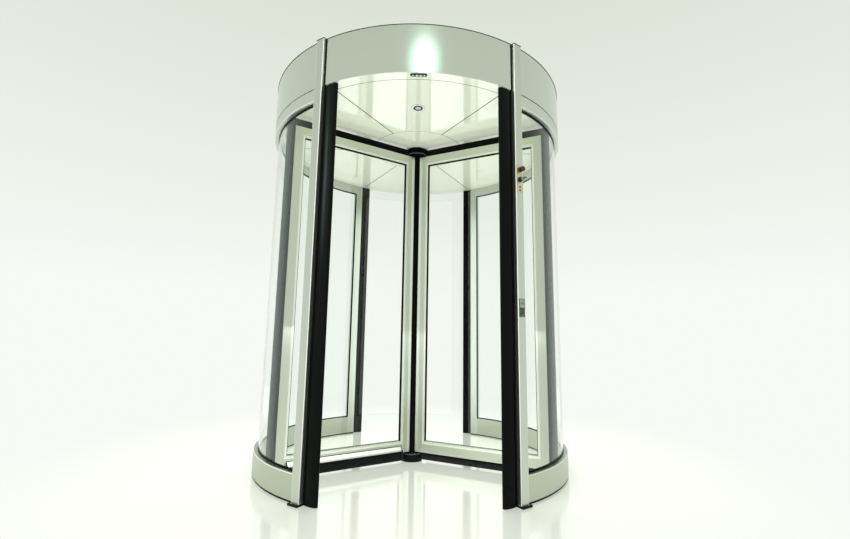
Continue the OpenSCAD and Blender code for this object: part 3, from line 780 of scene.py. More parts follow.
def makeGuard(corner):
    place = cornerPlace(corner)
    low, high = boxOf(cornerPoints("finger_guards", corner), place)
    soft = [place.inverted() @ p for p in cornerPoints("finger_guards", corner)]
    softTop = max(p.z for p in soft if p.y < high.y - 2 * guard["carrier"])
    root = high.y - guard["carrier"]
    x0, x1 = low.x + guard["inner"], high.x - guard["outer"]
    edge, stem, shoulder, tip = root - guard["gap"], guard["stem"], guard["shoulder"], guard["tip"]
    sunk = root + guard["sunk"]
    bm = bmesh.new()
    prism(bm, [
        (x0 + stem, sunk, 0), (x1 - stem, sunk, 0), (x1 - stem, edge, 0), (x1, edge, shoulder),
        (high.x + guard["over"], edge - guard["bulge"], guard["crown"]), (high.x - guard["lean"], low.y, tip),
        (low.x + guard["back"], low.y, tip), (x0, edge, shoulder), (x0 + stem, edge, 0),
    ], low.z, softTop, place, steps=7, rim=guard["topEdge"], rimSteps=3)
    piece = makePiece("guard_" + corner, bm, "drum", "rubber", guardRubber, sharp=40)
    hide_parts("finger_guards")
    bm = bmesh.new()
    middle, g, cut, small = (root + high.y) / 2, guard["groove"], guard["edge"], guard["grooveEdge"]
    prism(bm, [
        (x0, root, cut), (x1, root, cut), (x1, middle - g, small), (x1 - g, middle - g / 2, 0),
        (x1 - g, middle + g / 2, 0), (x1, middle + g, small), (x1, high.y, cut), (x0, high.y, cut),
        (x0, middle + g, small), (x0 + g, middle + g / 2, 0),
        (x0 + g, middle - g / 2, 0), (x0, middle - g, small),
    ], low.z, high.z, place, steps=1)
    carrier = makePiece("guard_carrier_" + corner, bm, "drum", "black_metal", blackUpright)
    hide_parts("finger_guards")


for corner in door["corners"]:
    makeGuard(corner)
print("finger guards made")


# Wings: gaskets round the glass, brush seals round the frame, safety strips

gasket = {"width": 0.0062, "height": 0.0065, "edge": 0.0018, "bite": 0.0005, "dustTo": 0.0052}
seal = {"holder": 0.016, "holderHalf": 0.014, "holderEdge": 0.0035, "gap": 0.0002, "brushHalf": 0.005,
        "brushEdge": 0.0012, "brushBack": 0.001, "finHalf": 0.0009, "topHub": 0.0915, "floorHub": 0.0775,
        "shaft": 0.0425, "hubLow": 2.3295, "hubHigh": 0.0625, "lap": 0.002}
strip = {"ribs": 4, "ribDepth": 0.0014, "ribWide": 0.0022, "ribEdge": 0.0005, "nose": 0.0145, "top": 0.078,
         "ribsFrom": 0.002, "ribTaper": 0.4, "gap": 0.0002, "railOut": 0.016, "cap": 0.005, "capOver": 0.0008,
         "capBend": (0.008, 0.010), "capSlope": (0.014, 0.004), "capHeel": (0.006, 0.002), "capBack": 0.0005}


def makeGasket(name, place):
    bm = bmesh.new()
    more, front = gasket["bite"], wing["glassFace"]
    for side in (1, -1):
        # the ring is drawn flat and stood up in the opening
        stand = (place @ Matrix.Diagonal((1, side, 1, 1)) @ Matrix.Rotation(math.pi / 2, 4, "X")
                 @ Matrix.Diagonal((1, 1, -1, 1)))
        ringPlate(bm, wing["openFrom"] - more, wing["openTo"] + more, wing["openLow"] - more,
                  wing["openHigh"] + more, gasket["width"], front, front + gasket["height"], stand,
                  gasket["edge"])
    # the lowest run is paler
    for face in bm.faces:
        if face.calc_center_median().z < wing["openLow"] + gasket["dustTo"]:
            face.material_index = 1
    makePiece(name + "_wing_gasket", bm, "rotor", "rubber", gasketRubber, dustyRubber)


def uBand(bm, over, side, under, inner, half, place, edge=0.0):
    # a band over, beside and under a wing; over, side and under are the outer distances from the frame
    oldVerts, oldFaces, oldEdges = set(bm.verts), set(bm.faces), set(bm.edges)
    top, bottom, outer = wing["top"], wing["bottom"], wing["frameTo"]
    paths = []
    for up, out, down in ((inner, inner, inner), (over, side, under)):
        corners = [(seal["topHub"], top + up), (outer + out, top + up), (outer + out, bottom - down),
                   (seal["floorHub"], bottom - down)]
        paths.append([bm.verts.new((x, -half, z)) for x, z in corners])
    edges = [bm.edges.new(pair) for path in paths for pair in zip(path, path[1:])]
    bmesh.ops.bridge_loops(bm, edges=edges)
    moved = raiseFaces(bm, oldFaces, (0, 2 * half, 0))
    if edge:
        # its outer edges, in front and behind
        more, front = inner + 1e-5, set(paths[1])
        back = {v for v in moved if v.co.z > top + more or v.co.x > outer + more or v.co.z < bottom - more}
        edges = [e for e in bm.edges if e not in oldEdges
                 and (front.issuperset(e.verts) or back.issuperset(e.verts))]
        roundOff(bm, edges, edge, 3)
    settle(bm, oldVerts, place)


def makeSeal(name, place):
    low, high = sealBox
    over, side, under = high.z - wing["top"], high.x - wing["frameTo"], wing["bottom"] - low.z
    h, half, gap = seal["holder"], seal["holderHalf"], seal["gap"]
    thin, back, lap = seal["finHalf"], seal["brushBack"], seal["lap"]
    bm = bmesh.new()
    uBand(bm, h, h, h, gap, half, place, seal["holderEdge"])
    slab(bm, seal["shaft"], seal["topHub"] + lap, -half, half, wing["top"] + gap, seal["hubLow"], place)
    slab(bm, seal["shaft"], seal["floorHub"] + lap, -half, half, seal["hubHigh"], wing["bottom"] - gap, place)
    holder = makePiece(name + "_seal_holder", bm, "rotor", "black_metal", blackUpright)
    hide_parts(name + "_wing_seal")
    bm = bmesh.new()
    for sign in (1, -1):
        # two rows of hair with a thin fin between them
        shift = place @ Matrix.Translation((0, sign * (seal["brushHalf"] + thin) / 2, 0))
        uBand(bm, over - back, side - back, under - back, h - lap, (seal["brushHalf"] - thin) / 2, shift,
              seal["brushEdge"])
    pile = makePiece(name + "_seal_brush", bm, "rotor", "rubber", brushes[name])
    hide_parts(name + "_wing_seal")
    bm = bmesh.new()
    uBand(bm, over, side, under, h - lap, thin, place)
    fin = makePiece(name + "_seal_fin", bm, "rotor", "rubber", gasketRubber)
    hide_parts(name + "_wing_seal")


def makeStrip(name, place):
    low, high = stripBox
    # drawn in the plane across the strip: x is out of the wing's face, y is up
    stand = place @ Matrix(((0, 0, 1, 0), (1, 0, 0, 0), (0, 1, 0, 0), (0, 0, 0, 1)))
    nose, top, cap, back = strip["nose"], strip["top"] - strip["gap"], strip["cap"], low.y + strip["gap"]
    first, last = low.z + nose + strip["ribsFrom"], strip["top"] - nose - strip["ribsFrom"]
    pitch = (last - first) / (strip["ribs"] - 1)
    w, d, e = strip["ribWide"] / 2, high.y - strip["ribDepth"], strip["ribEdge"]
    t = w * strip["ribTaper"]
    corners = [(back, low.z, 0), (high.y, low.z, nose)]
    for i in range(strip["ribs"]):
        y = first + i * pitch
        corners += [(high.y, y - w, e), (d, y - t, 0), (d, y + t, 0), (high.y, y + w, e)]
    corners += [(high.y, top, nose), (back, top, 0)]
    bm = bmesh.new()
    prism(bm, corners, low.x + cap, high.x - cap, stand, steps=6)
    piece = makePiece(name + "_strip", bm, "rotor", "rubber", stripRubber, sharp=50)
    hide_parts(name + "_wing_strip")
    bm = bmesh.new()
    over, (bend, bendCut), (slope, slopeCut) = strip["capOver"], strip["capBend"], strip["capSlope"]
    heel, heelCut = strip["capHeel"]
    outline = [(back, low.z - over, heelCut), (high.y + over, low.z - over, nose),
               (high.y + over, strip["top"] - bend, bendCut),
               (low.y + strip["railOut"] + over, strip["top"] + slope, slopeCut),
               (low.y + heel, high.z + over, heelCut), (back, high.z + over, strip["capBack"])]
    for x in (low.x, high.x - cap):
        prism(bm, outline, x, x + cap, stand)
    caps = makePiece(name + "_strip_caps", bm, "rotor", "rubber", blackPlastic)
    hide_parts(name + "_wing_strip")


for w, place in wingPlaces.items():
    makeGasket(w, place)
    makeSeal(w, place)
    makeStrip(w, place)
print("wings made")


# Hubs: screws round the collars and a soft ring round the floor hub

hub = {"step": 0.007, "topScrews": {"ring": 0.074, "aside": 0.30, "size": (0.0055, 0.003)},
       "floorScrews": {"ring": 0.0655, "aside": 0.28, "size": (0.0042, 0.0025)},
       "ringHalf": 0.0035, "ringTaper": 0.7, "ringBelow": 0.006, "ringIn": 0.001, "ringOut": 0.0012}


def collarScrews(bm, screws, z, turn=Matrix()):
    # halfway between the wings, and to each side of that
    for w in door["wings"]:
        for aside in (-screws["aside"], screws["aside"]):
            a = wingTurns[w] + math.pi / 3 + aside
            spot = Vector((math.cos(a), math.sin(a), 0)) * screws["ring"] + Vector((0, 0, z))
            screwHead(bm, Matrix.Translation(spot) @ turn, *screws["size"])


def makeHubs():
    bm = bmesh.new()
    collarScrews(bm, hub["topScrews"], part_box("top_hub")[0].z + hub["step"], Matrix.Rotation(math.pi, 4, "X"))
    makePiece("top_hub_screws", bm, "rotor", "black_metal", blackUpright)
    bm = bmesh.new()
    low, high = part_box("floor_hub")
    collarScrews(bm, hub["floorScrews"], high.z - hub["step"])
    makePiece("floor_hub_screws", bm, "rotor", "steel_grey", screwSteel)
    bm = bmesh.new()
    r, out, t = high.x - hub["ringIn"], high.x + hub["ringOut"], hub["ringHalf"]
    middle, less = (low.z + high.z) / 2 - hub["ringBelow"], t * hub["ringTaper"]
    lathe(bm, [(r, middle - t), (out, middle - less), (out, middle + less), (r, middle + t)], steps=96,
          closed=True)
    makePiece("floor_hub_ring", bm, "rotor", "rubber", gasketRubber)


makeHubs()


# Dark strips in the seams of the ceiling, with thin lips over the straight ones: painted shade of the seams

seam = {"half": 0.002, "rise": 0.0008, "high": 0.006, "inner": 0.356, "outer": 1.029, "wide": 0.004,
        "gap": 0.0001, "lip": 0.0029, "drop": 0.0004, "panels": 6, "firstAt": -60}


def makeSeams():
    gap, ceiling = seam["gap"], door["ceiling"]
    base = ceiling + seam["rise"]
    top = base + seam["high"]
    inner, outer, h = seam["inner"] + seam["wide"], seam["outer"] - seam["wide"], seam["half"] - gap
    bm = bmesh.new()
    for r in (seam["inner"] + gap, outer + gap):
        far = r + seam["wide"] - 2 * gap
        lathe(bm, [(r, base), (far, base), (far, top), (r, top)], steps=180, closed=True)
    for i in range(seam["panels"]):
        place = Matrix.Rotation(math.radians(seam["firstAt"] + 360 / seam["panels"] * i), 4, "Z")
        slab(bm, inner, outer, -h, h, base, top, place)
        slab(bm, inner, outer, -seam["lip"], seam["lip"], ceiling - seam["drop"], ceiling + gap, place)
    makePiece("ceiling_seam_fillets", bm, "drum", "rubber", gasketRubber)


makeSeams()


# Ceiling sensors

roundSensor = {  # profiles are radius and height, which is negative under the ceiling
    "at": 0.696,
    "flange": [(0, 0), (0.0445, 0), (0.0445, -0.0012), (0.0435, -0.0022), (0.0345, -0.0026),
               (0.0330, -0.0018), (0, -0.0018)],
    "bezel": [(0, -0.0015), (0.0318, -0.0015), (0.0320, -0.0034), (0.0300, -0.0044), (0.0250, -0.0044),
              (0.0205, -0.0026), (0, -0.0026)],
    "shadow": [(0.0440, 0), (0.0460, 0), (0.0460, -0.0010), (0.0440, -0.0010)],
    "centre": [(0, -0.002), (0.0190, -0.002), (0.0190, -0.0030), (0.0160, -0.0038), (0.0090, -0.0041),
               (0, -0.0041)],
    "pips": 3,
    "pipAt": (0.0105, 0, -0.0038),
    "pip": [(0, 0), (0.0036, 0), (0.0030, -0.0006), (0, -0.0007)],
}
ovalSensor = {
    "at": 1.079,
    "long": 0.0525,
    "wide": 0.017,
    "drop": 0.009,
    "lip": 0.0028,
    "lipWide": 0.002,
    "lipEdge": 0.001,
    "bodyFrom": 0.001,
    "bodyEdge": 0.0045,
    "round": 0.98,  # share of the half width that rounds the ends, and its steps
    "steps": 10,
    "windows": ((-0.033, 0.0055), (-0.009, 0.0080), (0.012, 0.0080), (0.033, 0.0055)),  # place and radius
    "windowDrop": 0.0008,
    # shares of the radius, and heights
    "windowShape": ((0, 0), (1, 0), (1, 0.0004), (0.75, 0.0007), (0, 0.0008)),
}
sensorMaterials = [plastic[name] for name in ("sensorWhite", "sensorLens", "lensCentre")]


def makeRoundSensor(name, place):
    bm = bmesh.new()
    flange = lathe(bm, roundSensor["flange"], place, 64)
    bezel = lathe(bm, roundSensor["bezel"], place, 64)
    bezel += lathe(bm, roundSensor["shadow"], place, 64, closed=True)
    centre = lathe(bm, roundSensor["centre"], place)
    for i in range(roundSensor["pips"]):
        turn = Matrix.Rotation(math.radians(90 + 360 / roundSensor["pips"] * i), 4, "Z")
        bezel += lathe(bm, roundSensor["pip"], place @ (turn @ Matrix.Translation(roundSensor["pipAt"])), 16)
    piece = makePiece(name, bm, "drum", "sensor_white", *sensorMaterials, parts=(flange, bezel, centre))
    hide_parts("sensors")


def makeOvalSensor(name, place):
    # a glossy black body in a white lip over an opening
    long, wide, less = ovalSensor["long"], ovalSensor["wide"], ovalSensor["lipWide"]
    share, steps = ovalSensor["round"], ovalSensor["steps"]
    turned = place @ Matrix.Rotation(math.pi, 4, "X")
    inner, face = wide - less, ovalSensor["drop"] - ovalSensor["windowDrop"]
    bm = bmesh.new()
    lip = slab(bm, -long, long, -wide, wide, 0, ovalSensor["lip"], turned, wide * share, steps,
               ovalSensor["lipEdge"])
    body = slab(bm, less - long, long - less, -inner, inner, ovalSensor["bodyFrom"], face, turned,
                inner * share, steps, ovalSensor["bodyEdge"])
    windows = []
    for x, r in ovalSensor["windows"]:
        windows += lathe(bm, [(r * out, z) for out, z in ovalSensor["windowShape"]],
                         turned @ Matrix.Translation((x, 0, face)), 24)
    piece = makePiece(name, bm, "drum", "sensor_white", *sensorMaterials, parts=(lip, body, windows))
    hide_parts("sensors")


def underCeiling(y):
    return Matrix.Translation((0, y, door["ceiling"]))


for side, sign in (("front", -1), ("rear", 1)):
    makeRoundSensor("round_sensor_" + side, underCeiling(sign * roundSensor["at"]))
    makeOvalSensor("oval_sensor_" + side, underCeiling(sign * ovalSensor["at"]))
print("hubs and sensors made")


# Controls on the front right post

def faceOut(x, z, y=0.0):
    # local Z points out of the post's face
    return frontRight @ Matrix.Translation((x, y, z)) @ Matrix.Rotation(math.pi / 2, 4, "Y")


plateBox, stopBox, keyBox, buttonBox = (
    boxOf(nodePoints(name), frontRight) for name in ("control_plate", "stop_button", "key", "button_plate"))
controls = {  # profiles are radius and height over the plate
    "post": 1.120,  # the faces of post and plate, from the axis
    "plate": 1.122,
    "stopZ": (stopBox[0].z + stopBox[1].z) / 2,
    "keyZ": (keyBox[0].z + keyBox[1].z) / 2,
    "collar": [(0.0136, 0), (0.0152, 0), (0.0152, 0.0095), (0.0142, 0.0118), (0.0125, 0.0128),
               (0.0088, 0.0128), (0.0088, 0.0121), (0.0136, 0.0121)],
    "bezel": [(0.0141, 0), (0.0158, 0), (0.0158, 0.0070), (0.0150, 0.0095), (0.0130, 0.0108),
              (0.0097, 0.0108), (0.0097, 0.0101), (0.0141, 0.0101)],
    "windows": (0.011, 0.032),  # over the plate's lower edge
    "window": [(0, 0), (0.0061, 0), (0.0057, 0.0007), (0.0043, 0.0009), (0.0037, 0.0003), (0, 0.0001)],
    "topScrew": {"under": 0.0085, "size": (0.0036, 0.0012)},
    "sideScrew": {"over": 0.0215, "aside": 0.0165, "size": (0.0026, 0.001)},
    "stem": 0.0079,
    "head": [(0.0120, -0.0128), (0.0148, -0.0118), (0.0158, -0.0098), (0.0160, -0.0072), (0.0152, -0.0048),
             (0.0128, -0.0024), (0.0090, -0.0009), (0.0045, -0.0002), (0, 0)],  # height from its crown
    "headFrom": 0.0135,
}
key = {  # blade and bow: from the lock's face, half width and half thickness
    "reach": 0.030,
    "plug": 0.0089,
    "plugEdge": (0.0010, 0.0012),
    "blade": (-0.001, 0.0036, 0.0011),
    "bladeTo": 0.0135,
    "bow": (0.0105, 0.0098, 0.0021),
    "bowRound": (0.006, 5, 0.001),
    "hole": 0.006,  # from the bow's end
    "holeRim": [(0.0030, -0.0024), (0.0042, -0.0024), (0.0042, 0.0024), (0.0030, 0.0024)],
    "collar": [(0.0088, -0.0052), (0.0118, -0.0048), (0.0122, -0.0018), (0.0108, -0.0004), (0.0088, -0.0004)],
}


def makeControls():
    low, high = plateBox
    face, stopZ, keyZ = controls["plate"], controls["stopZ"], controls["keyZ"]
    for name, slot, look, ring, z in (("stop_collar", "stop_red", "stopRed", "collar", stopZ),
                                      ("key_bezel", "key_black", "keyBlack", "bezel", keyZ)):
        bm = bmesh.new()
        lathe(bm, controls[ring], faceOut(face, z), closed=True)
        makePiece(name, bm, "drum", slot, plastic[look])
    bm = bmesh.new()
    for up in controls["windows"]:
        lathe(bm, controls["window"], faceOut(face, low.z + up), 32)
    makePiece("plate_windows", bm, "drum", "key_black", plastic["keyBlack"])
    bm = bmesh.new()
    top, side = controls["topScrew"], controls["sideScrew"]
    screwHead(bm, faceOut(face, high.z - top["under"]), *top["size"])
    for sign in (-1, 1):
        screwHead(bm, faceOut(face, low.z + side["over"], sign * side["aside"]), *side["size"])
    makePiece("plate_screws", bm, "drum", "steel_grey", screwSteel)
    # mushroom head on its stem
    base, stem = stopBox[0].x, controls["stem"]
    reach = stopBox[1].x - base
    bm = bmesh.new()
    lathe(bm, [(0, 0), (stem, 0), (stem, reach - controls["headFrom"])]
          + [(r, reach + z) for r, z in controls["head"]], faceOut(base, stopZ))
    head = makePiece("stop_head", bm, "stop", "stop_red", plastic["stopRed"], sharp=50)
    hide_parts("stop_button")


def makeKey():
    # plug, blade and bow
    base, end = keyBox[0].x, keyBox[1].x
    lock = end - key["reach"]
    deep, r, (less, down) = lock - base, key["plug"], key["plugEdge"]
    stand = faceOut(base, controls["keyZ"])
    flat = frontRight @ Matrix.Translation((0, 0, controls["keyZ"]))
    bm = bmesh.new()
    plug = lathe(bm, [(0, 0), (r, 0), (r, deep - down), (r - less, deep), (0, deep)], stand, 40)
    start, half, thick = key["blade"]
    blade = slab(bm, lock + start, lock + key["bladeTo"], -half, half, -thick, thick, flat)
    start, half, thick = key["bow"]
    blade += slab(bm, lock + start, end, -half, half, -thick, thick, flat, *key["bowRound"])
    plug += lathe(bm, key["holeRim"], flat @ Matrix.Translation((end - key["hole"], 0, 0)), 24, closed=True)
    blade += lathe(bm, [(r, deep + z) for r, z in key["collar"]], stand, 40, closed=True)
    piece = makePiece("key_in_lock", bm, "key_turn", "key_black", screwSteel, plastic["keyBlack"],
                      parts=(plug, blade))
    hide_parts("key")


# A plain sign over, and a round push button under, in a narrow frame

button = {
    "face": 0.0015,  # over the post's face
    "raised": 0.003,
    "frame": (0.0028, -0.0002, 0.0016),  # width, low and high
    "frameEdge": 0.0004,
    "bar": 0.0014,
    "barIn": 0.002,
    "sign": 0.0032,  # set in from the plate's edge
    "signOver": 0.0018,
    "signSheet": (-0.0001, 0.0007),  # a sheet's low and high
    "signRound": (0.001, 3),
    "ring": [(0.0088, 0), (0.0108, 0), (0.0108, 0.0010), (0.0088, 0.0010)],
    "mark": 0.0010,  # thickness of the mark
    "uprights": (-0.0032, 0.0032),
    "uprightHalf": (0.005, 0.001),
    "barHalf": (0.0012, 0.0072),
    "dot": [(0, 0), (0.0026, 0), (0.0026, 0.0012), (0, 0.0012)],
    "dotIn": (0.008, 0.0085),
    "panel": 0.0036,
    "panelSheet": (-0.0004, 0.0006),
    "panelRound": (0.0015, 3, 0.0003),
    "buttonUp": 0.002,
    "buttonOver": 0.0004,
    "rim": [(0.0125, 0), (0.0155, 0), (0.0152, 0.0022), (0.0142, 0.0028), (0.0130, 0.0022)],
    "cap": [(0, 0), (0.0122, 0), (0.0122, 0.0022), (0.0105, 0.0032), (0.0060, 0.0038), (0, 0.0040)],
    "line": (0.0050, 0.0072, 0.0110),  # over the lower edge, from and to, and its half length
    "lineSheet": (0.0005, 0.0010),
}


def makeButtonFace():
    low, high = buttonBox
    x, raised = controls["post"] + button["face"], controls["post"] + button["raised"]
    middle, half = (low.z + high.z) / 2, high.y
    signZ, buttonZ = (middle + high.z) / 2, (low.z + middle) / 2 + button["buttonUp"]
    stand = faceOut(x, 0)
    bm = bmesh.new()
    ringPlate(bm, -high.z, -low.z, -half, half, *button["frame"], stand, button["frameEdge"])
    bar, inset = button["bar"], half - button["barIn"]
    slab(bm, -middle - bar, -middle + bar, -inset, inset, 0, bar, stand)
    makePiece("button_frame", bm, "drum", "black_metal", plastic["plateOlive"])
    bm = bmesh.new()
    inset = half - button["sign"]
    slab(bm, button["sign"] - high.z, -middle - button["signOver"], -inset, inset, *button["signSheet"],
         stand, *button["signRound"])
    makePiece("button_sign", bm, "drum", "sensor_white", plastic["iconPale"])
    bm = bmesh.new()
    thick, (tall, wide), (barTall, barWide) = button["mark"], button["uprightHalf"], button["barHalf"]
    lathe(bm, button["ring"], faceOut(x, signZ), 40, closed=True)
    for y in button["uprights"]:
        slab(bm, -signZ - tall, -signZ + tall, y - wide, y + wide, 0, thick, stand)
    slab(bm, -signZ - barTall, -signZ + barTall, -barWide, barWide, 0, thick, stand)
    lathe(bm, button["dot"], faceOut(x, high.z - button["dotIn"][0], half - button["dotIn"][1]), 20)
    makePiece("button_sign_mark", bm, "drum", "key_black", plastic["keyBlack"])
    bm = bmesh.new()
    inset = half - button["panel"]
    slab(bm, -middle + button["panel"], -low.z - button["panel"], -inset, inset, *button["panelSheet"],
         faceOut(raised, 0), *button["panelRound"])
    makePiece("button_panel", bm, "drum", "button_green", plastic["buttonGreen"])
    bm = bmesh.new()
    place = faceOut(raised + button["buttonOver"], buttonZ)
    rim = lathe(bm, button["rim"], place, closed=True)
    cap = lathe(bm, button["cap"], place)
    start, end, long = button["line"]
    line = slab(bm, -low.z - end, -low.z - start, -long, long, *button["lineSheet"], faceOut(raised, 0))
    makePiece("push_button", bm, "drum", "button_green", plastic["buttonBright"], plastic["buttonGreen"],
              plastic["iconPale"], parts=(rim, cap, line))


makeControls()
makeKey()
makeButtonFace()
print("controls made")


# Roof: sheets with raised joints, a hatch over the bearing and screws round the rim

roof = {
    "sheet": 0.004,
    "edge": 0.0008,
    "tabHalf": 0.032,  # the tabs over the posts
    "tabIn": 0.06,
    "tabDrop": 0.0002,
    "tabRound": 0.004,
    "seams": (-0.55, 0.0, 0.55),
    "seamHalf": 0.011,
    "seamShort": 0.006,
    "raise": 0.0019,
    "sunk": 0.0001,
    "hatch": (0.26, 0.19),
    "hatchGap": 0.01,
    "hatchHigh": 0.0012,
    "hatchRound": 0.012,
    "hatchEdge": 0.0006,
    "screws": 40,
    "screwAt": 1.078,
    "screwR": 0.0055,
    "screwHigh": 0.95,  # share of the height that is free over the sheet
    "hatchScrews": (0.02, 0.0010),  # in from the hatch's edge, and up
}


def makeRoof():
    low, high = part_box("roof_cover")
    # on the two axes the cover is round, and the tabs lie between them
    onAxes = [p for p in nodePoints("roof_cover") if min(abs(p.x), abs(p.y)) < roof["tabHalf"] / 2]
    radius = max(p.xy.length for p in onAxes)
    top, edge = low.z + roof["sheet"], roof["edge"]
    bm = bmesh.new()
    lathe(bm, [(0, low.z), (radius, low.z), (radius, top - edge), (radius - edge, top), (0, top)], steps=180)
    for corner in door["corners"]:
        x1 = boxOf(cornerPoints("roof_cover", corner), cornerPlace(corner))[1].x
        slab(bm, radius - roof["tabIn"], x1, -roof["tabHalf"], roof["tabHalf"], low.z, top - roof["tabDrop"],
             cornerPlace(corner), roof["tabRound"])
    sheet = makePiece("roof_sheet", bm, "drum", "roof_dark", roofSheet)
    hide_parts("roof_cover")
    bm = bmesh.new()
    a, b = roof["hatch"]
    under, gap = top - roof["sunk"], b + roof["hatchGap"]
    for x in roof["seams"]:
        reach = math.sqrt((radius - roof["seamShort"]) ** 2 - x ** 2)
        parts = [(-reach, reach)] if x else [(-reach, -gap), (gap, reach)]
        for y0, y1 in parts:
            slab(bm, x - roof["seamHalf"], x + roof["seamHalf"], y0, y1, under, top + roof["raise"],
                 rim=roof["edge"])
    slab(bm, -a, a, -b, b, under, top + roof["hatchHigh"], cut=roof["hatchRound"], rim=roof["hatchEdge"])
    joints = makePiece("roof_joints", bm, "drum", "roof_dark", roofSheet)
    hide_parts("roof_cover")
    bm = bmesh.new()
    spots = []
    for i in range(roof["screws"]):
        angle = (i + 0.5) * 2 * math.pi / roof["screws"]
        spots.append((math.cos(angle) * roof["screwAt"], math.sin(angle) * roof["screwAt"], top))
    less, up = roof["hatchScrews"]
    spots += [(x * (a - less), y * (b - less), top + up) for x in (-1, 0, 1) for y in (-1, 1)]
    for spot in spots:
        screwHead(bm, Matrix.Translation(spot), roof["screwR"], (high.z - spot[2]) * roof["screwHigh"])
    makePiece("roof_screws", bm, "drum", "steel_grey", screwSteel)


makeRoof()


# Foot plates: two anchor screws each

foot = {"screws": ((0.006, 0.024), (0.030, 0.006)), "size": (0.0042, 0.0022)}  # in from the plate's two edges


def makeFootScrews():
    bm = bmesh.new()
    for corner in door["corners"]:
        place = cornerPlace(corner)
        high = boxOf(cornerPoints("foot_plates", corner), place)[1]
        for x, y in foot["screws"]:
            screwHead(bm, place @ Matrix.Translation((high.x - x, high.y - y, high.z)), *foot["size"])
    makePiece("foot_screws", bm, "drum", "steel_grey", screwSteel)


makeFootScrews()
print("roof and feet made")


# Floor, backdrop and light

studio = {
    "horizon": (0.93, 0.95, 0.91),
    "top": (0.66, 0.70, 0.60),
    "ramp": (0.10, 0.80),
    "floor": (0.37, 0.39, 0.345),
    "floorTone": (0.94, 0.95, 0.85),
    "floorGlow": 0.57,  # how bright the polished floor is without its lamps and reflections
    "floorRough": 0.10,
    "floorIor": 1.75,
    "floorReach": 14,
    "fade": (1.0, 3.0),
    "street": 1.72,  # brightness of the floor behind the door, in what the glossy ceiling shows
    "streetFrom": (1.3, 2.2),
    "streetTo": (5.4, 4.4),
    "streetHalf": (2.0, 1.6),
    "fill": 0.70,
}


def seenDirectly(tree):
    # 1 for camera, glossy and transmission rays
    path = addNode(tree, "LightPath").outputs
    first = maths("MAXIMUM", path["Is Camera Ray"], path["Is Glossy Ray"])
    return maths("MAXIMUM", first, path["Is Transmission Ray"]), path["Glossy Depth"]


def makeWorld():
    world = bpy.data.worlds.new("backdrop")
    scene.world = world
    world.use_nodes = True
    tree = world.node_tree
    shown = tree.nodes["Background"]
    lit = addNode(tree, "Background", {"Color": (1, 1, 0.985, 1), "Strength": studio["fill"]})
    ramp = addNode(tree, "ValToRGB", {"Fac": apart(addNode(tree, "TexCoord").outputs["Generated"])["Z"]})
    for stop, position, tone in zip(ramp.color_ramp.elements, studio["ramp"], ("horizon", "top")):
        stop.position = position
        stop.color = (*studio[tone], 1)
    fill(shown, {"Color": ramp.outputs["Color"]})
    mixShaders("World Output", seenDirectly(tree)[0], lit.outputs[0], shown.outputs[0])


def makeFloor():
    bm = bmesh.new()
    bmesh.ops.create_circle(bm, cap_ends=True, segments=96, radius=studio["floorReach"])
    mesh = bpy.data.meshes.new("floor")
    bm.to_mesh(mesh)
    bm.free()
    material, shader, place = startMaterial("paleFloor", studio["floor"], studio["floorRough"])
    direct, depth = seenDirectly(material.node_tree)
    fill(shader, {
        "IOR": studio["floorIor"],
        "Coat Weight": 1.0,
        "Coat IOR": studio["floorIor"],
        "Coat Roughness": studio["floorRough"],
        "Emission Color": (*studio["floorTone"], 1),
        "Emission Strength": varied(0.0, direct, 0.0, studio["floorGlow"]),
    })
    # away from the door the floor runs into the backdrop
    x, y = apart(place)[:2]
    sources = {"fade": vectors("LENGTH", place, out="Value"), "streetFrom": y, "streetTo": y,
               "streetHalf": maths("ABSOLUTE", x)}
    far, behind, ending, within = (
        ranged(source, *studio[name], curve="SMOOTHSTEP") for name, source in sources.items())
    street = maths("GREATER_THAN", depth, 0.5)
    for share in (maths("MULTIPLY", behind, ending), within):
        street = maths("MULTIPLY", street, share)
    glow = onFrom("Emission", {"Color": (*studio["horizon"], 1),
                               "Strength": varied(1.0, street, 0.0, studio["street"] - 1.0)})[0]
    either = maths("MAXIMUM", maths("MULTIPLY", far, direct), street)
    mixShaders("Material Output", either, shader.outputs[0], glow)
    material.cycles.emission_sampling = "NONE"
    mesh.materials.append(material)
    floor = bpy.data.objects.new("floor", mesh)
    scene.collection.objects.link(floor)
    return floor


def addLamp(name, place, aim, size, power, colour=(1, 1, 1), shape="RECTANGLE", glossy=False, diffuse=True,
            only=None):
    data = bpy.data.lights.new(name, "AREA")
    data.shape = shape
    data.size, data.size_y = size
    data.energy = power
    data.color = colour
    lamp = bpy.data.objects.new(name, data)
    lamp.location = place
    lamp.rotation_euler = (Vector(aim) - Vector(place)).to_track_quat("-Z", "Y").to_euler()
    lamp.visible_camera = False
    lamp.visible_transmission = False
    lamp.visible_glossy = glossy
    lamp.visible_diffuse = diffuse
    if only:
        receivers = bpy.data.collections.new(name + "_receivers")
        for piece in only:
            receivers.objects.link(piece)
        lamp.light_linking.receiver_collection = receivers
    scene.collection.objects.link(lamp)


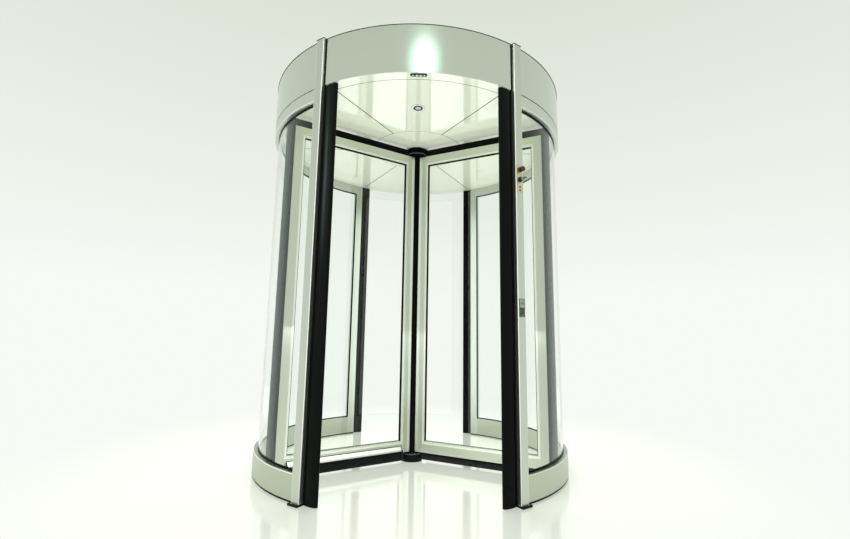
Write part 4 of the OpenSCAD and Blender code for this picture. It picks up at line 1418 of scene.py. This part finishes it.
makeWorld()
floor = makeFloor()
guards = [bpy.data.objects[start + corner]
          for start in ("guard_", "guard_carrier_") for corner in door["corners"]]
rearMetal = [cadNodes[kind + side]
             for kind in ("post_rear_", "base_rail_", "top_rail_") for side in ("left", "right")]
frontFrames = [cadNodes["left_wing_frame"], cadNodes["right_wing_frame"]]
lamps = {
    "keyLamp": {"place": (-3.2, -4.2, 4.2), "aim": (0, 0, 1.2), "size": (2.4, 2.4), "power": 150},
    "backLamp": {"place": (0.0, 4.2, 2.6), "aim": (0, 0, 0.4), "size": (4.0, 2.0), "power": 120},
    "bounceLamp": {"place": (0.0, -2.5, 0.04), "aim": (0, -2.5, 2.39), "size": (2.2, 1.0), "power": 36},
    "floorGlow": {"place": (0.0, 0.0, 0.008), "aim": (0, 0, 2.39), "size": (1.9, 1.9), "power": 29,
                  "shape": "DISK"},
    # the highlight on the header and its halo
    "spotLamp": {"place": (0.10, -2.05, 3.07), "aim": (0.05, -1.1, 2.44), "size": (0.25, 0.17), "power": 0.75,
                 "shape": "ELLIPSE", "glossy": True},
    "haloLamp": {"place": (0.10, -2.07, 3.12), "aim": (0.05, -1.1, 2.47), "size": (0.62, 0.36), "power": 0.5,
                 "colour": (0.55, 1, 0.90), "shape": "ELLIPSE", "glossy": True},
    # inside the drum, for the floor alone, for the metal at its back and for the front wings
    "floorLight": {"place": (0.0, 0.0, 2.3), "aim": (0, 0, 0), "size": (1.6, 1.6), "power": 46,
                   "shape": "DISK", "only": [floor]},
    "rearFillLeft": {"place": (-0.09, 0.5, 1.15), "aim": (-1, 0.5, 1.15), "size": (0.85, 2.25), "power": 5,
                     "glossy": True, "only": rearMetal},
    "rearFillRight": {"place": (0.09, 0.5, 1.15), "aim": (1, 0.5, 1.15), "size": (0.85, 2.25), "power": 5,
                      "glossy": True, "only": rearMetal},
    "wingFill": {"place": (0.0, -0.60, 0.95), "aim": (0, -0.60, 0), "size": (1.5, 0.75), "power": 5.5,
                 "glossy": True, "only": frontFrames},
    "wingFillRight": {"place": (-0.33, -0.80, 1.15), "aim": (0.45, -0.27, 1.15), "size": (0.3, 2.2),
                      "power": 0.9, "glossy": True, "only": frontFrames[1:]},
    # what the guards mirror
    "guardBox": {"place": (-3.55, -1.48, 3.3), "aim": (-0.6, -0.93, 1.9), "size": (0.5, 1.3), "power": 60,
                 "colour": (0.70, 1, 0.84), "glossy": True, "diffuse": False, "only": guards},
}
for name, lamp in lamps.items():
    addLamp(name, **lamp)
